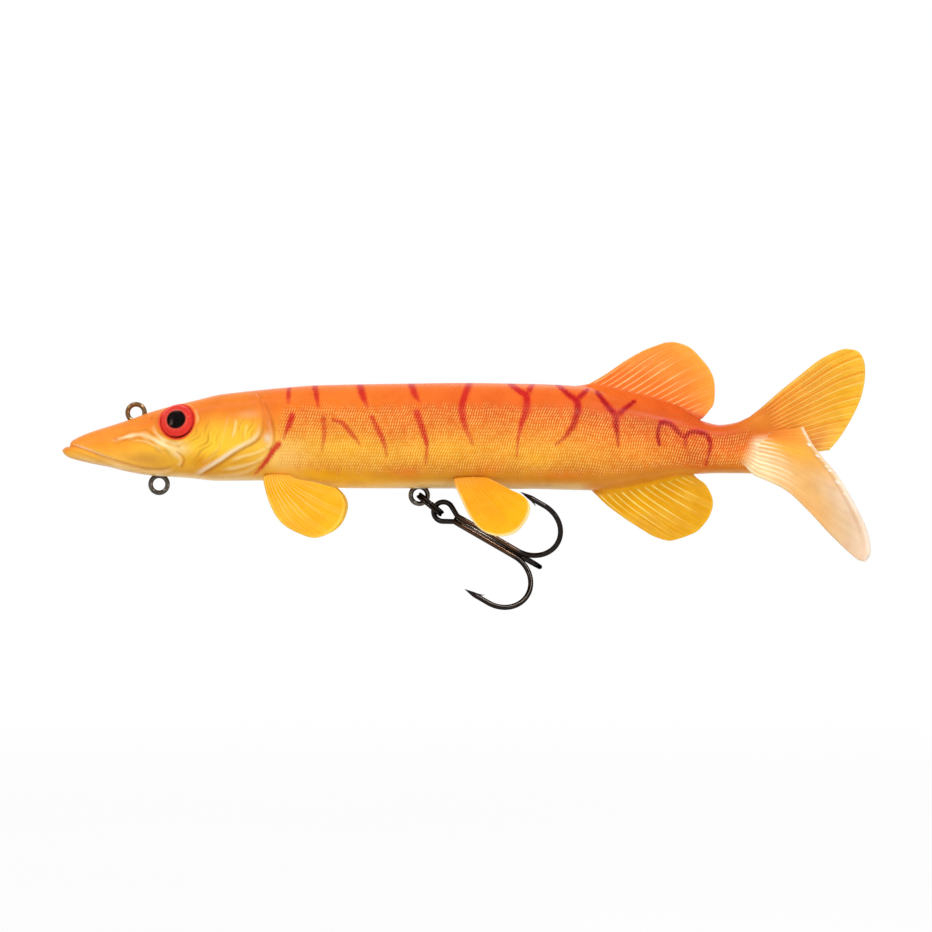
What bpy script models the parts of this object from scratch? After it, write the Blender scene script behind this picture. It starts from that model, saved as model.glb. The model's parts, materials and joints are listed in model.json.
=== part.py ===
"""Soft-bodied pike swimbait with its wire harness, ballast, split ring and treble hook.

Metres, +Z up, nose towards -X, left flank towards -Y.
The origin is the centre of the line tie, the wire ring on top of the snout.
"""

import math

import bmesh
import bpy
from mathutils import Matrix, Vector

# Soft body outline, as (x, value) points on smooth curves from the nose to the tail root
TOP_LINE = (
    (-0.0180, -0.0085), (-0.0160, -0.0069), (-0.0065, -0.0033), (0.0034, -0.0002), (0.0133, 0.0024),
    (0.0232, 0.0049), (0.0406, 0.0066), (0.0803, 0.0074), (0.1076, 0.0068), (0.1249, 0.0031),
    (0.1423, -0.0027), (0.1480, -0.0028), (0.1560, 0.0011),
)
BELLY_LINE = (
    (-0.0180, -0.0104), (-0.0160, -0.0114), (-0.0065, -0.0136), (0.0034, -0.0155), (0.0232, -0.0169),
    (0.0307, -0.0168), (0.0505, -0.0187), (0.0803, -0.0188), (0.1120, -0.0192), (0.1249, -0.0177),
    (0.1348, -0.0157), (0.1423, -0.0150), (0.1560, -0.0156),
)
HALF_WIDTH = (
    (-0.0180, 0.0022), (-0.0160, 0.0039), (-0.0065, 0.0058), (0.0133, 0.0080), (0.0307, 0.0097),
    (0.0654, 0.0103), (0.0952, 0.0098), (0.1150, 0.0087), (0.1348, 0.0062), (0.1472, 0.0042),
    (0.1560, 0.0018),
)
TAIL_X = 0.1560  # end of the tail root, which the outline stretches to from the waist
OUTLINE_TAIL_X = 0.1560  # where the points above put that end
SQUARENESS = 2.6  # exponent of the superelliptic cross-section; 2 is an ellipse
RING_SIDES = 24
RING_STEP = 0.0045

# Gaps between neighbouring solids
CLEARANCE = 0.0003
FIN_GAP = 0.0005  # under the dorsal and anal fins, which lean from side to side
TAIL_GAP = 0.0006  # between the tail root and the tail fin

# Where the soft body bends, and how much of it gives way there
WAIST_X = 0.1010
WAIST_LENGTH = 0.0080
TAIL_STALK = 0.0110  # from the middle of the wrist to the end of the tail root
WRIST_X = TAIL_X - TAIL_STALK
WRIST_LENGTH = 0.0080

# Harness wire and its three rings
HARNESS_WIRE = 0.0012
RING_RADIUS = 0.0021  # to the middle of the wire
CHIN_RING_X = 0.0057
CHIN_RING_DROP = 0.0020  # ring centre below the chin
BELLY_RING_X = 0.0702
BELLY_RING_DROP = 0.0017
HARNESS_Z = -0.0125  # the level at which the belly wire runs through the ballast
HARNESS_BEND = 0.0025  # radius of the belly wire's two bends
CRIMP_DROP = 0.0075  # from the line tie down to the middle of the crimp
CRIMP_LENGTH = 0.0060
CRIMP_WALL = 0.0005

# Ballast cast round the belly wire
BALLAST_START_X = 0.0250
BALLAST_LENGTH = 0.0330
BALLAST_HALF_WIDTH = 0.0045
BALLAST_HALF_HEIGHT = 0.0036

# Eyes
EYE_X = 0.0105
EYE_Z = -0.0021
EYE_RADIUS = 0.0041
EYE_RIM = 0.0006  # width of the moulded rim round the eye
EYE_DOME = 0.0016  # height of the lens over its edge
EYE_EDGE = 0.0006  # thickness of the lens at its edge
IRIS_THICKNESS = 0.0005

# Split ring: two turns of wire
SPLIT_WIRE = 0.0009
SPLIT_RADIUS = 0.0036
SPLIT_TURNS = 2.0
SPLIT_GAP = 0.00045  # between the turns
SPLIT_DROP_DEG = 39.5  # its slope below the horizontal at rest

# Treble hook
HOOK_WIRE = 0.0013
HOOK_DROP_DEG = 30.0  # slope of the shank below the horizontal at rest
HOOK_EYE_RADIUS = 0.0024
HOOK_NECK = 0.0046  # from the eye's centre to where the two legs run side by side
HOOK_SHANK = 0.0214  # from the eye's centre to the start of the bend
HOOK_BEND_RADIUS = 0.0077
HOOK_POINT_LENGTH = 0.0068
HOOK_TIP = 0.00012  # radius at the very point
HOOK_LEG_GAP = 0.0003
HOOK_SPREAD_DEG = 120.0

# Fins: thickness at the root and at the margin
FIN_ROOT = 0.0018
FIN_EDGE = 0.0008
TAIL_ROOT_THICKNESS = 0.0024
TAIL_EDGE = 0.0014
FIN_ROWS = 5  # from root to margin
FIN_COLUMNS = 16

# Margins, from the front of the root: (along the body, away from the body)
DORSAL_START_X = 0.1105
DORSAL_END_X = 0.1390
DORSAL_MARGIN = (
    (0.0008, 0.0012), (0.0045, 0.0030), (0.0144, 0.0087), (0.0222, 0.0109), (0.0293, 0.0067),
    (0.0328, -0.0010), (0.0312, -0.0060), (0.0288, -0.0080),
)
ANAL_START_X = 0.1142
ANAL_END_X = 0.1373
ANAL_MARGIN = (
    (0.0004, -0.0013), (0.0032, -0.0050), (0.0110, -0.0105), (0.0176, -0.0125), (0.0246, -0.0104),
    (0.0285, -0.0035), (0.0268, 0.0013), (0.0236, 0.0027),
)
PECTORAL_ROOT_X = 0.0319
PECTORAL_ROOT_Z = -0.0160
PECTORAL_ROOT_LENGTH = 0.0062
PECTORAL_SPLAY_DEG = 28.0
PECTORAL_MARGIN = (
    (-0.0001, 0.0016), (0.0022, 0.0082), (0.0074, 0.0146), (0.0131, 0.0166), (0.0182, 0.0138),
    (0.0203, 0.0085), (0.0188, 0.0038), (0.0130, 0.0012), (0.0072, 0.0008),
)
PELVIC_ROOT_X = 0.0788
PELVIC_ROOT_Z = -0.0164
PELVIC_ROOT_LENGTH = 0.0080
PELVIC_SPLAY_DEG = 30.0
PELVIC_MARGIN = (
    (0.0002, 0.0016), (0.0030, 0.0092), (0.0075, 0.0142), (0.0122, 0.0160), (0.0170, 0.0135),
    (0.0187, 0.0085), (0.0165, 0.0040), (0.0125, 0.0014), (0.0090, 0.0008),
)

# Tail fin: the lobes part at one level, which their margins are measured from
TAIL_SPLIT_Z = -0.0105
UPPER_MARGIN = (
    (0.0132, 0.0002), (0.0159, 0.0015), (0.0204, 0.0087), (0.0240, 0.0175), (0.0234, 0.0246),
    (0.0199, 0.0265), (0.0105, 0.0219), (0.0020, 0.0140),
)
LOWER_MARGIN = (
    (0.0132, -0.0002), (0.0179, -0.0064), (0.0216, -0.0124), (0.0249, -0.0186), (0.0256, -0.0240),
    (0.0242, -0.0264), (0.0157, -0.0201), (0.0075, -0.0116), (0.0020, -0.0069),
)
UPPER_CURL = 0.0030  # sideways reach of the lobe's tip, away from the left flank
LOWER_CURL = -0.0060
TAIL_REACH = 0.0258  # length over which the lobes curl

LEFT, RIGHT = -1, 1
SIDE_NAMES = {LEFT: "left", RIGHT: "right"}


# Curves and outlines


def smooth(points, x):
    """Value at x on the smooth curve through (x, value) points, which never overshoots a point."""
    xs = [p[0] for p in points]
    vs = [p[1] for p in points]
    last = len(xs) - 1
    steps = [(vs[i + 1] - vs[i]) / (xs[i + 1] - xs[i]) for i in range(last)]
    slopes = [steps[0]]
    for before, after in zip(steps, steps[1:]):
        slopes.append(0.0 if before * after <= 0 else 2 * before * after / (before + after))
    slopes.append(steps[-1])
    i = max(0, min(last - 1, sum(1 for v in xs[1:-1] if v <= x)))
    span = xs[i + 1] - xs[i]
    t = (x - xs[i]) / span
    return (
        vs[i] * (1 + 2 * t) * (1 - t) ** 2
        + vs[i + 1] * t * t * (3 - 2 * t)
        + span * (slopes[i] * t * (1 - t) ** 2 - slopes[i + 1] * t * t * (1 - t))
    )


def along(points, t):
    """Point at share t of a smooth curve through points, which are evenly spread over t."""
    place = t * (len(points) - 1)
    i = min(int(place), len(points) - 2)
    f = place - i
    p = [Vector(points[max(0, min(len(points) - 1, k))]) for k in range(i - 1, i + 3)]
    return 0.5 * (
        2 * p[1]
        + (p[2] - p[0]) * f
        + (2 * p[0] - 5 * p[1] + 4 * p[2] - p[3]) * f**2
        + (3 * p[1] - p[0] - 3 * p[2] + p[3]) * f**3
    )


def arc(centre, radius, start_deg, sweep_deg, count):
    """Points on an arc in the XZ plane; 0 degrees is +X and 90 is +Z."""
    turn = [math.radians(start_deg + sweep_deg * i / (count - 1)) for i in range(count)]
    return [centre + radius * Vector((math.cos(a), 0, math.sin(a))) for a in turn]


def heading(degrees_down):
    """Unit vector in the XZ plane, towards the tail and sloping down."""
    a = math.radians(degrees_down)
    return Vector((math.cos(a), 0, -math.sin(a)))


# Body surface


def station(x):
    """Place on the drawn outline of a point at x on the body, which is drawn to size as far as the waist."""
    stretch = (TAIL_X - WAIST_X) / (OUTLINE_TAIL_X - WAIST_X)
    return x if x < WAIST_X else WAIST_X + (x - WAIST_X) / stretch


def top(x):
    return smooth(TOP_LINE, station(x))


def belly(x):
    return smooth(BELLY_LINE, station(x))


def widest(x):
    return smooth(HALF_WIDTH, station(x))


def flank(x, z):
    """Distance of the body's side from the middle plane at height z."""
    middle, half_height = (top(x) + belly(x)) / 2, (top(x) - belly(x)) / 2
    share = min(1.0, abs(z - middle) / half_height)
    return widest(x) * (1 - share**SQUARENESS) ** (1 / SQUARENESS)


def body_ring(x):
    """Cross-section of the body at x, as points round the superellipse."""
    middle, half_height = (top(x) + belly(x)) / 2, (top(x) - belly(x)) / 2
    half_width = widest(x)
    ring = []
    for i in range(RING_SIDES):
        a = 2 * math.pi * (i + 0.5) / RING_SIDES
        c, s = math.cos(a), math.sin(a)
        y = half_width * math.copysign(abs(c) ** (2 / SQUARENESS), c)
        z = middle + half_height * math.copysign(abs(s) ** (2 / SQUARENESS), s)
        ring.append(Vector((x, y, z)))
    return ring


# Building blocks


def clear_scene():
    for obj in list(bpy.data.objects):
        bpy.data.objects.remove(obj)


def finish_material(name, colour, roughness, metallic=0.0, transmission=0.0):
    material = bpy.data.materials.new(name)
    material.use_nodes = True
    shader = material.node_tree.nodes["Principled BSDF"]
    shader.inputs["Base Color"].default_value = (*colour, 1.0)
    shader.inputs["Roughness"].default_value = roughness
    shader.inputs["Metallic"].default_value = metallic
    shader.inputs["Transmission Weight"].default_value = transmission
    return material


def add(name, data, joint, material):
    """Links data, drawn in world places, as an object whose origin is on its joint."""
    obj = bpy.data.objects.new(name, data)
    bpy.context.scene.collection.objects.link(obj)
    data.transform(Matrix.Translation(-joint["at"]))
    obj.parent = joint["empty"]
    obj.data.materials.append(material)
    return obj


def joint_at(name, at, parent=None):
    """An empty on a joint's axis; the pieces that move there are its children."""
    empty = bpy.data.objects.new(name, None)
    bpy.context.scene.collection.objects.link(empty)
    empty.empty_display_size = HARNESS_WIRE
    if parent:
        empty.parent = parent["empty"]
        empty.location = at - parent["at"]
    else:
        empty.location = at
    return {"empty": empty, "at": Vector(at)}


def mesh_of(name, mesh_builder):
    """Mesh from a filled bmesh, with its faces turned outwards and its round faces smooth."""
    bmesh.ops.recalc_face_normals(mesh_builder, faces=mesh_builder.faces)
    mesh = bpy.data.meshes.new(name)
    mesh_builder.to_mesh(mesh)
    mesh_builder.free()
    mesh.shade_smooth()
    mesh.set_sharp_from_angle(angle=math.radians(40))
    return mesh


def loft(name, rings):
    """Closed skin through rings of as many points each, with flat ends."""
    bm = bmesh.new()
    loops = [[bm.verts.new(p) for p in ring] for ring in rings]
    sides = len(rings[0])
    for near, far in zip(loops, loops[1:]):
        for i in range(sides):
            k = (i + 1) % sides
            bm.faces.new((near[i], near[k], far[k], far[i]))
    bm.faces.new(loops[0])
    bm.faces.new(loops[-1])
    return mesh_of(name, bm)


def turned(name, profile, centre, axis, sides):
    """Solid of revolution: profile holds (along the axis, radius) from one end to the other."""
    turn = Vector((0, 0, 1)).rotation_difference(axis).to_matrix()
    rings = []
    for height, radius in profile:
        angles = [2 * math.pi * i / sides for i in range(sides)]
        flat = [Vector((radius * math.cos(a), radius * math.sin(a), height)) for a in angles]
        rings.append([centre + turn @ p for p in flat])
    return loft(name, rings)


def wire(name, points, diameter, joint, material, radii=None, resolution=2):
    """Round wire along points, as a bevelled curve with closed ends."""
    curve = bpy.data.curves.new(name, "CURVE")
    curve.dimensions = "3D"
    curve.bevel_depth = diameter / 2
    curve.bevel_resolution = resolution
    curve.use_fill_caps = True
    spline = curve.splines.new("POLY")
    spline.points.add(len(points) - 1)
    for i, (bezier_point, place) in enumerate(zip(spline.points, points)):
        bezier_point.co = (*place, 1.0)
        bezier_point.radius = radii[i] / (diameter / 2) if radii else 1.0
    return add(name, curve, joint, material)


def tube_mesh(name, points, diameter):
    """The same round tube as a closed mesh, for cutting."""
    rings = []
    tangent = (points[1] - points[0]).normalized()
    side = tangent.orthogonal().normalized()
    sides = 10
    for i, place in enumerate(points):
        ahead = points[min(i + 1, len(points) - 1)] - points[max(i - 1, 0)]
        turn = tangent.rotation_difference(ahead)
        side = (turn @ side).normalized()
        tangent = ahead.normalized()
        across = tangent.cross(side)
        angles = [2 * math.pi * k / sides for k in range(sides)]
        rings.append([place + diameter / 2 * (math.cos(a) * side + math.sin(a) * across) for a in angles])
    return loft(name, rings)


def ring_mesh(name, centre, radius, diameter):
    """Closed torus in the XZ plane, for cutting."""
    bm = bmesh.new()
    around, across = 24, 10
    loops = []
    for i in range(around):
        a = 2 * math.pi * i / around
        out = Vector((math.cos(a), 0, math.sin(a)))
        angles = [2 * math.pi * k / across for k in range(across)]
        offsets = [diameter / 2 * (math.cos(b) * out + math.sin(b) * Vector((0, 1, 0))) for b in angles]
        loops.append([bm.verts.new(centre + radius * out + o) for o in offsets])
    for near, far in zip(loops, loops[1:] + loops[:1]):
        for k in range(across):
            m = (k + 1) % across
            bm.faces.new((near[k], near[m], far[m], far[k]))
    return mesh_of(name, bm)


def cut(obj, mesh, operation="DIFFERENCE"):
    """Cuts obj with a mesh drawn in world places, or joins it on."""
    tool = bpy.data.objects.new(mesh.name, mesh)
    bpy.context.scene.collection.objects.link(tool)
    tool.hide_render = True
    tool.display_type = "WIRE"
    modifier = obj.modifiers.new(mesh.name, "BOOLEAN")
    modifier.operation = operation
    modifier.object = tool


# Soft body


def body_section(name, start_x, end_x, joint, material):
    count = max(2, math.ceil((end_x - start_x) / RING_STEP) + 1)
    stops = [start_x + (end_x - start_x) * i / (count - 1) for i in range(count)]
    return add(name, loft(name, [body_ring(x) for x in stops]), joint, material)


def soft_body(joints, materials):
    """The body in the order that it bends: stiff front, giving waist, rear, giving wrist, tail root."""
    nose = TOP_LINE[0][0]
    waist = (WAIST_X - WAIST_LENGTH / 2, WAIST_X + WAIST_LENGTH / 2)
    wrist = (WRIST_X - WRIST_LENGTH / 2, WRIST_X + WRIST_LENGTH / 2)
    front = body_section("front_body", nose, waist[0], joints["front"], materials["skin"])
    body_section("waist_flex", waist[0] + CLEARANCE, waist[1] - CLEARANCE, joints["waist"], materials["skin"])
    body_section("rear_body", waist[1], wrist[0], joints["waist"], materials["skin"])
    body_section("wrist_flex", wrist[0] + CLEARANCE, wrist[1] - CLEARANCE, joints["wrist"], materials["skin"])
    body_section("tail_root", wrist[1], TAIL_X, joints["wrist"], materials["skin"])
    return front


# Harness, ballast and eyes


def ring_centres():
    chin = Vector((CHIN_RING_X, 0, belly(CHIN_RING_X) - CHIN_RING_DROP))
    under = Vector((BELLY_RING_X, 0, belly(BELLY_RING_X) - BELLY_RING_DROP))
    return Vector((0, 0, 0)), chin, under


def ringed_wire(name, front, run, rings, joint, material):
    """Harness wire along a run, closed into a ring at each named centre, and its channel in the body."""
    obj = add(name, tube_mesh(name, run, HARNESS_WIRE), joint, material)
    channel = HARNESS_WIRE + 2 * CLEARANCE
    cut(front, tube_mesh(name + "_hole", run, channel))
    for ring, centre in rings.items():
        cut(obj, ring_mesh(ring, centre, RING_RADIUS, HARNESS_WIRE), "UNION")
        cut(front, ring_mesh(ring + "_slot", centre, RING_RADIUS, channel))


def head_wire(front, joint, material):
    """One wire with the line tie at its top end and the chin ring at its bottom end."""
    tie, chin, _ = ring_centres()
    down = (chin - tie).normalized()
    leg = [tie + down * RING_RADIUS, chin - down * RING_RADIUS]
    ringed_wire("head_wire", front, leg, {"line_tie": tie, "chin_ring": chin}, joint, material)


def crimp_frame():
    """Middle of the crimp, the direction of the head wire's leg, and the way to the belly wire beside it."""
    tie, chin, _ = ring_centres()
    down = (chin - tie).normalized()
    return tie + down * CRIMP_DROP, down, Vector((-down.z, 0, down.x))


def belly_wire(front, joint, material):
    """Wire from the crimp, along the body through the ballast, to the belly ring."""
    middle, down, beside = crimp_frame()
    under = ring_centres()[2]
    start = middle + beside * (HARNESS_WIRE + CLEARANCE)
    down_deg = math.degrees(math.atan2(down.z, down.x))
    corner = start + down * (HARNESS_Z - start.z) / down.z
    bend_start_x = corner.x + HARNESS_BEND * math.tan(math.radians(-down_deg / 2))
    front_bend = Vector((bend_start_x, 0, HARNESS_Z + HARNESS_BEND))
    rear_bend = Vector((under.x - HARNESS_BEND, 0, HARNESS_Z - HARNESS_BEND))
    run = [start - down * CRIMP_LENGTH / 2]
    run += arc(front_bend, HARNESS_BEND, down_deg - 90, -down_deg, 6)
    run += arc(rear_bend, HARNESS_BEND, 90, -90, 6)
    run.append(under + Vector((0, 0, RING_RADIUS)))
    ringed_wire("belly_wire", front, run, {"belly_ring": under}, joint, material)


def stadium(centre, along_axis, beside, radius, spacing, height):
    """Outline round two wires that lie side by side, at one height along them."""
    across = along_axis.cross(beside)
    outline = []
    for i in range(16):
        a = 2 * math.pi * (i + 0.5) / 16
        shift = spacing / 2 if math.cos(a) > 0 else -spacing / 2
        flat = beside * (radius * math.cos(a) + shift) + across * radius * math.sin(a)
        outline.append(centre + flat + along_axis * height)
    return outline


def crimp(front, joint, material):
    """Sleeve that clasps the two harness wires."""
    middle, down, beside = crimp_frame()
    spacing = HARNESS_WIRE + CLEARANCE
    centre = middle + beside * spacing / 2
    bore = HARNESS_WIRE / 2 + CLEARANCE
    outer, half = bore + CRIMP_WALL, CRIMP_LENGTH / 2

    def loop(radius, height):
        return stadium(centre, down, beside, radius, spacing, height)

    bm = bmesh.new()
    order = [loop(outer, -half), loop(outer, half), loop(bore, half), loop(bore, -half)]
    loops = [[bm.verts.new(p) for p in points] for points in order]
    for near, far in zip(loops, loops[1:] + loops[:1]):
        for i in range(len(near)):
            k = (i + 1) % len(near)
            bm.faces.new((near[i], near[k], far[k], far[i]))
    add("harness_crimp", mesh_of("harness_crimp", bm), joint, material)
    room = half + CLEARANCE
    cut(front, loft("crimp_pocket", [loop(outer + CLEARANCE, -room), loop(outer + CLEARANCE, room)]))


def ballast_rings(extra):
    """Rounded slug along the belly wire, grown by extra on every side."""
    rings = []
    half_length = BALLAST_LENGTH / 2 + extra
    for i in range(11):
        share = -math.cos(math.pi * (i + 0.5) / 11)
        x = BALLAST_START_X + BALLAST_LENGTH / 2 + half_length * share
        size = (1 - abs(share) ** 3) ** 0.5
        angles = [2 * math.pi * k / 16 for k in range(16)]
        wide, high = (BALLAST_HALF_WIDTH + extra) * size, (BALLAST_HALF_HEIGHT + extra) * size
        rings.append([Vector((x, wide * math.cos(a), HARNESS_Z + high * math.sin(a))) for a in angles])
    return rings


def ballast(front, joint, material):
    slug = add("ballast_weight", loft("ballast_weight", ballast_rings(0)), joint, material)
    start = Vector((BALLAST_START_X - HARNESS_BEND, 0, HARNESS_Z))
    end = Vector((BALLAST_START_X + BALLAST_LENGTH + HARNESS_BEND, 0, HARNESS_Z))
    cut(slug, tube_mesh("ballast_bore", [start, end], HARNESS_WIRE + 2 * CLEARANCE))
    cut(front, loft("ballast_pocket", ballast_rings(CLEARANCE)))


def eye_frame(side):
    """Centre of the eye on the body's surface, and the outward direction there."""
    step = 0.0005
    slope_x = (flank(EYE_X + step, EYE_Z) - flank(EYE_X - step, EYE_Z)) / (2 * step)
    slope_z = (flank(EYE_X, EYE_Z + step) - flank(EYE_X, EYE_Z - step)) / (2 * step)
    centre = Vector((EYE_X, side * flank(EYE_X, EYE_Z), EYE_Z))
    return centre, Vector((-slope_x, side, -slope_z)).normalized()


def eye(front, side, joint, materials):
    """Printed iris disc in a socket, under a clear domed lens, inside a moulded rim."""
    name = SIDE_NAMES[side]
    centre, out = eye_frame(side)
    lens_base = -EYE_EDGE
    iris_top = lens_base - CLEARANCE
    floor = iris_top - IRIS_THICKNESS - CLEARANCE
    socket = EYE_RADIUS + CLEARANCE
    rim_radius = math.hypot(socket + EYE_RIM, floor)
    half_turns = [math.pi * (i + 0.5) / 10 for i in range(10)]
    ball = [(floor - rim_radius * math.cos(a), rim_radius * math.sin(a)) for a in half_turns]
    cut(front, turned(f"eye_rim_{name}", ball, centre, out, 20), "UNION")
    cut(front, turned(f"eye_socket_{name}", [(floor, socket), (rim_radius, socket)], centre, out, 24))
    disc = [(iris_top - IRIS_THICKNESS, EYE_RADIUS), (iris_top, EYE_RADIUS)]
    add(f"eye_iris_{name}", turned(f"eye_iris_{name}", disc, centre, out, 24), joint, materials["iris"])
    dome = [(lens_base, EYE_RADIUS)]
    for i in range(6):
        a = math.pi / 2 * i / 6
        dome.append((EYE_DOME * math.sin(a), EYE_RADIUS * math.cos(a)))
    add(f"eye_lens_{name}", turned(f"eye_lens_{name}", dome, centre, out, 24), joint, materials["lens"])


# Fins


def fan(name, root, margin, thickness, place):
    """Thin fin between a root curve and its margin.

    root and margin give a flat point at share t across the fin, thickness is (at root, at margin), and
    place puts a flat point, its share from root to margin and its offset from the middle plane into space.
    """
    bm = bmesh.new()
    faces = {}
    for face in (-1, 1):
        for row in range(FIN_ROWS):
            s = row / (FIN_ROWS - 1)
            for column in range(FIN_COLUMNS):
                t = column / (FIN_COLUMNS - 1)
                flat = root(t).lerp(margin(t), s)
                taper = (1 - s**2) * (4 * t * (1 - t)) ** 0.25
                half = (thickness[1] + (thickness[0] - thickness[1]) * taper) / 2
                faces[face, row, column] = bm.verts.new(place(flat, s, face * half))
    for row in range(FIN_ROWS - 1):
        for column in range(FIN_COLUMNS - 1):
            corners = ((row, column), (row, column + 1), (row + 1, column + 1), (row + 1, column))
            for face in (-1, 1):
                bm.faces.new([faces[(face, *c)] for c in corners])
    rim = [(0, c) for c in range(FIN_COLUMNS)]
    rim += [(r, FIN_COLUMNS - 1) for r in range(1, FIN_ROWS)]
    rim += [(FIN_ROWS - 1, c) for c in reversed(range(FIN_COLUMNS - 1))]
    rim += [(r, 0) for r in reversed(range(1, FIN_ROWS - 1))]
    for here, there in zip(rim, rim[1:] + rim[:1]):
        bm.faces.new([faces[(-1, *here)], faces[(1, *here)], faces[(1, *there)], faces[(-1, *there)]])
    return mesh_of(name, bm)


def middle_fin(name, line, gap, start_x, end_x, margin, joint, material):
    """Fin that stands on the back or under the belly, in the middle plane."""
    front = Vector((start_x, line(start_x) + gap))

    def root(t):
        x = start_x + (end_x - start_x) * t
        return Vector((x, line(x) + gap))

    def edge(t):
        return front + along(margin, t)

    def place(flat, s, offset):
        return (flat.x, offset, flat.y)

    add(name, fan(name, root, edge, (FIN_ROOT, FIN_EDGE), place), joint, material)


def paired_root(side, x, z, length):
    """Start of a paired fin's hinge axis, just clear of the flank along its whole length."""
    reach = max(flank(x + length * i / 4, z) for i in range(5))
    return Vector((x, side * (reach + FIN_ROOT / 2 + CLEARANCE), z))


def paired_fin(name, side, start, length, splay_deg, margin, joint, material):
    """Fin that hangs from the flank, turning outwards from its root by the splay angle."""
    a = math.radians(splay_deg)
    down = Vector((0, side * math.sin(a), -math.cos(a)))
    out = Vector((0, side * math.cos(a), math.sin(a)))

    def root(t):
        return Vector((length * t, 0))

    def edge(t):
        return along(margin, t)

    def place(flat, s, offset):
        return start + Vector((flat.x, 0, 0)) + down * flat.y + out * offset

    add(name, fan(name, root, edge, (FIN_ROOT, FIN_EDGE), place), joint, material)


def tail_lobe(name, root_start_z, root_end_z, margin, curl, joint, material):
    """One lobe of the tail fin, curling sideways towards its tip."""
    start_x = TAIL_X + TAIL_GAP

    def root(t):
        return Vector((start_x, root_start_z + (root_end_z - root_start_z) * t))

    def edge(t):
        return Vector((start_x, TAIL_SPLIT_Z)) + along(margin, t)

    def place(flat, s, offset):
        bent = curl * ((flat.x - start_x) / TAIL_REACH) ** 2
        return (flat.x, bent + offset, flat.y)

    add(name, fan(name, root, edge, (TAIL_ROOT_THICKNESS, TAIL_EDGE), place), joint, material)


def fins(joints, roots, materials):
    middle_fin(
        "dorsal_fin", top, FIN_GAP, DORSAL_START_X, DORSAL_END_X, DORSAL_MARGIN, joints["dorsal"],
        materials["dorsal_fin"],
    )
    middle_fin(
        "anal_fin", belly, -FIN_GAP, ANAL_START_X, ANAL_END_X, ANAL_MARGIN, joints["anal"], materials["fin"]
    )
    for side, side_name in SIDE_NAMES.items():
        paired_fin(
            f"pectoral_fin_{side_name}", side, roots["pectoral", side], PECTORAL_ROOT_LENGTH,
            PECTORAL_SPLAY_DEG, PECTORAL_MARGIN, joints["pectoral", side], materials["fin"],
        )
        paired_fin(
            f"pelvic_fin_{side_name}", side, roots["pelvic", side], PELVIC_ROOT_LENGTH,
            PELVIC_SPLAY_DEG, PELVIC_MARGIN, joints["pelvic", side], materials["fin"],
        )
    above, below = TAIL_SPLIT_Z + CLEARANCE / 2, TAIL_SPLIT_Z - CLEARANCE / 2
    tail_lobe("tail_fin_upper", above, top(TAIL_X), UPPER_MARGIN, UPPER_CURL, joints["tail"], materials["tail"])
    tail_lobe("tail_fin_lower", below, belly(TAIL_X), LOWER_MARGIN, LOWER_CURL, joints["tail"], materials["tail"])


# Split ring and treble hook


def split_frame():
    """Direction from the belly ring to the far side, direction from turn to turn, and the pitch."""
    away = heading(SPLIT_DROP_DEG)
    return away, away.cross(Vector((0, 1, 0))), SPLIT_WIRE + SPLIT_GAP


def split_far_side(start):
    """Middle of the two turns on the side that holds the hook, half a pitch on from the belly ring."""
    away, beside, pitch = split_frame()
    return start + away * 2 * SPLIT_RADIUS + beside * pitch / 2


def split_ring(start, joint, material):
    """Two turns of wire that hang from the belly ring, one turn beside the other."""
    away, beside, pitch = split_frame()
    centre = start + away * SPLIT_RADIUS
    count = int(24 * SPLIT_TURNS) + 1
    points = []
    for i in range(count):
        turn = SPLIT_TURNS * (i / (count - 1) - 0.5)
        a = 2 * math.pi * turn + math.pi / 2
        ring = math.cos(a) * away + math.sin(a) * Vector((0, 1, 0))
        points.append(centre + SPLIT_RADIUS * ring + beside * pitch * (turn + 0.25))
    wire("split_ring", points, SPLIT_WIRE, joint, material, resolution=1)
    far = 12
    gaps = [(p - q).length for i, p in enumerate(points) for q in points[i + far:]]
    print(f"split ring: least gap between its turns {1000 * (min(gaps) - SPLIT_WIRE):.2f} mm")


def hook_bend(eye_centre, shank, leg_offset, outward):
    """Points and radii of one hook, from the start of its leg's bend to its point."""
    points, radii = [], []
    for i in range(15):
        a = math.pi * i / 14
        u = HOOK_SHANK + HOOK_BEND_RADIUS * math.sin(a)
        v = HOOK_BEND_RADIUS * (1 - math.cos(a))
        points.append(eye_centre + leg_offset + shank * u + outward * v)
        radii.append(HOOK_WIRE / 2)
    for share in (0.35, 0.7, 1.0):
        u, v = HOOK_SHANK - HOOK_POINT_LENGTH * share, 2 * HOOK_BEND_RADIUS
        points.append(eye_centre + leg_offset + shank * u + outward * v)
        radii.append(HOOK_TIP + (HOOK_WIRE / 2 - HOOK_TIP) * (1 - share))
    return points, radii


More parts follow.
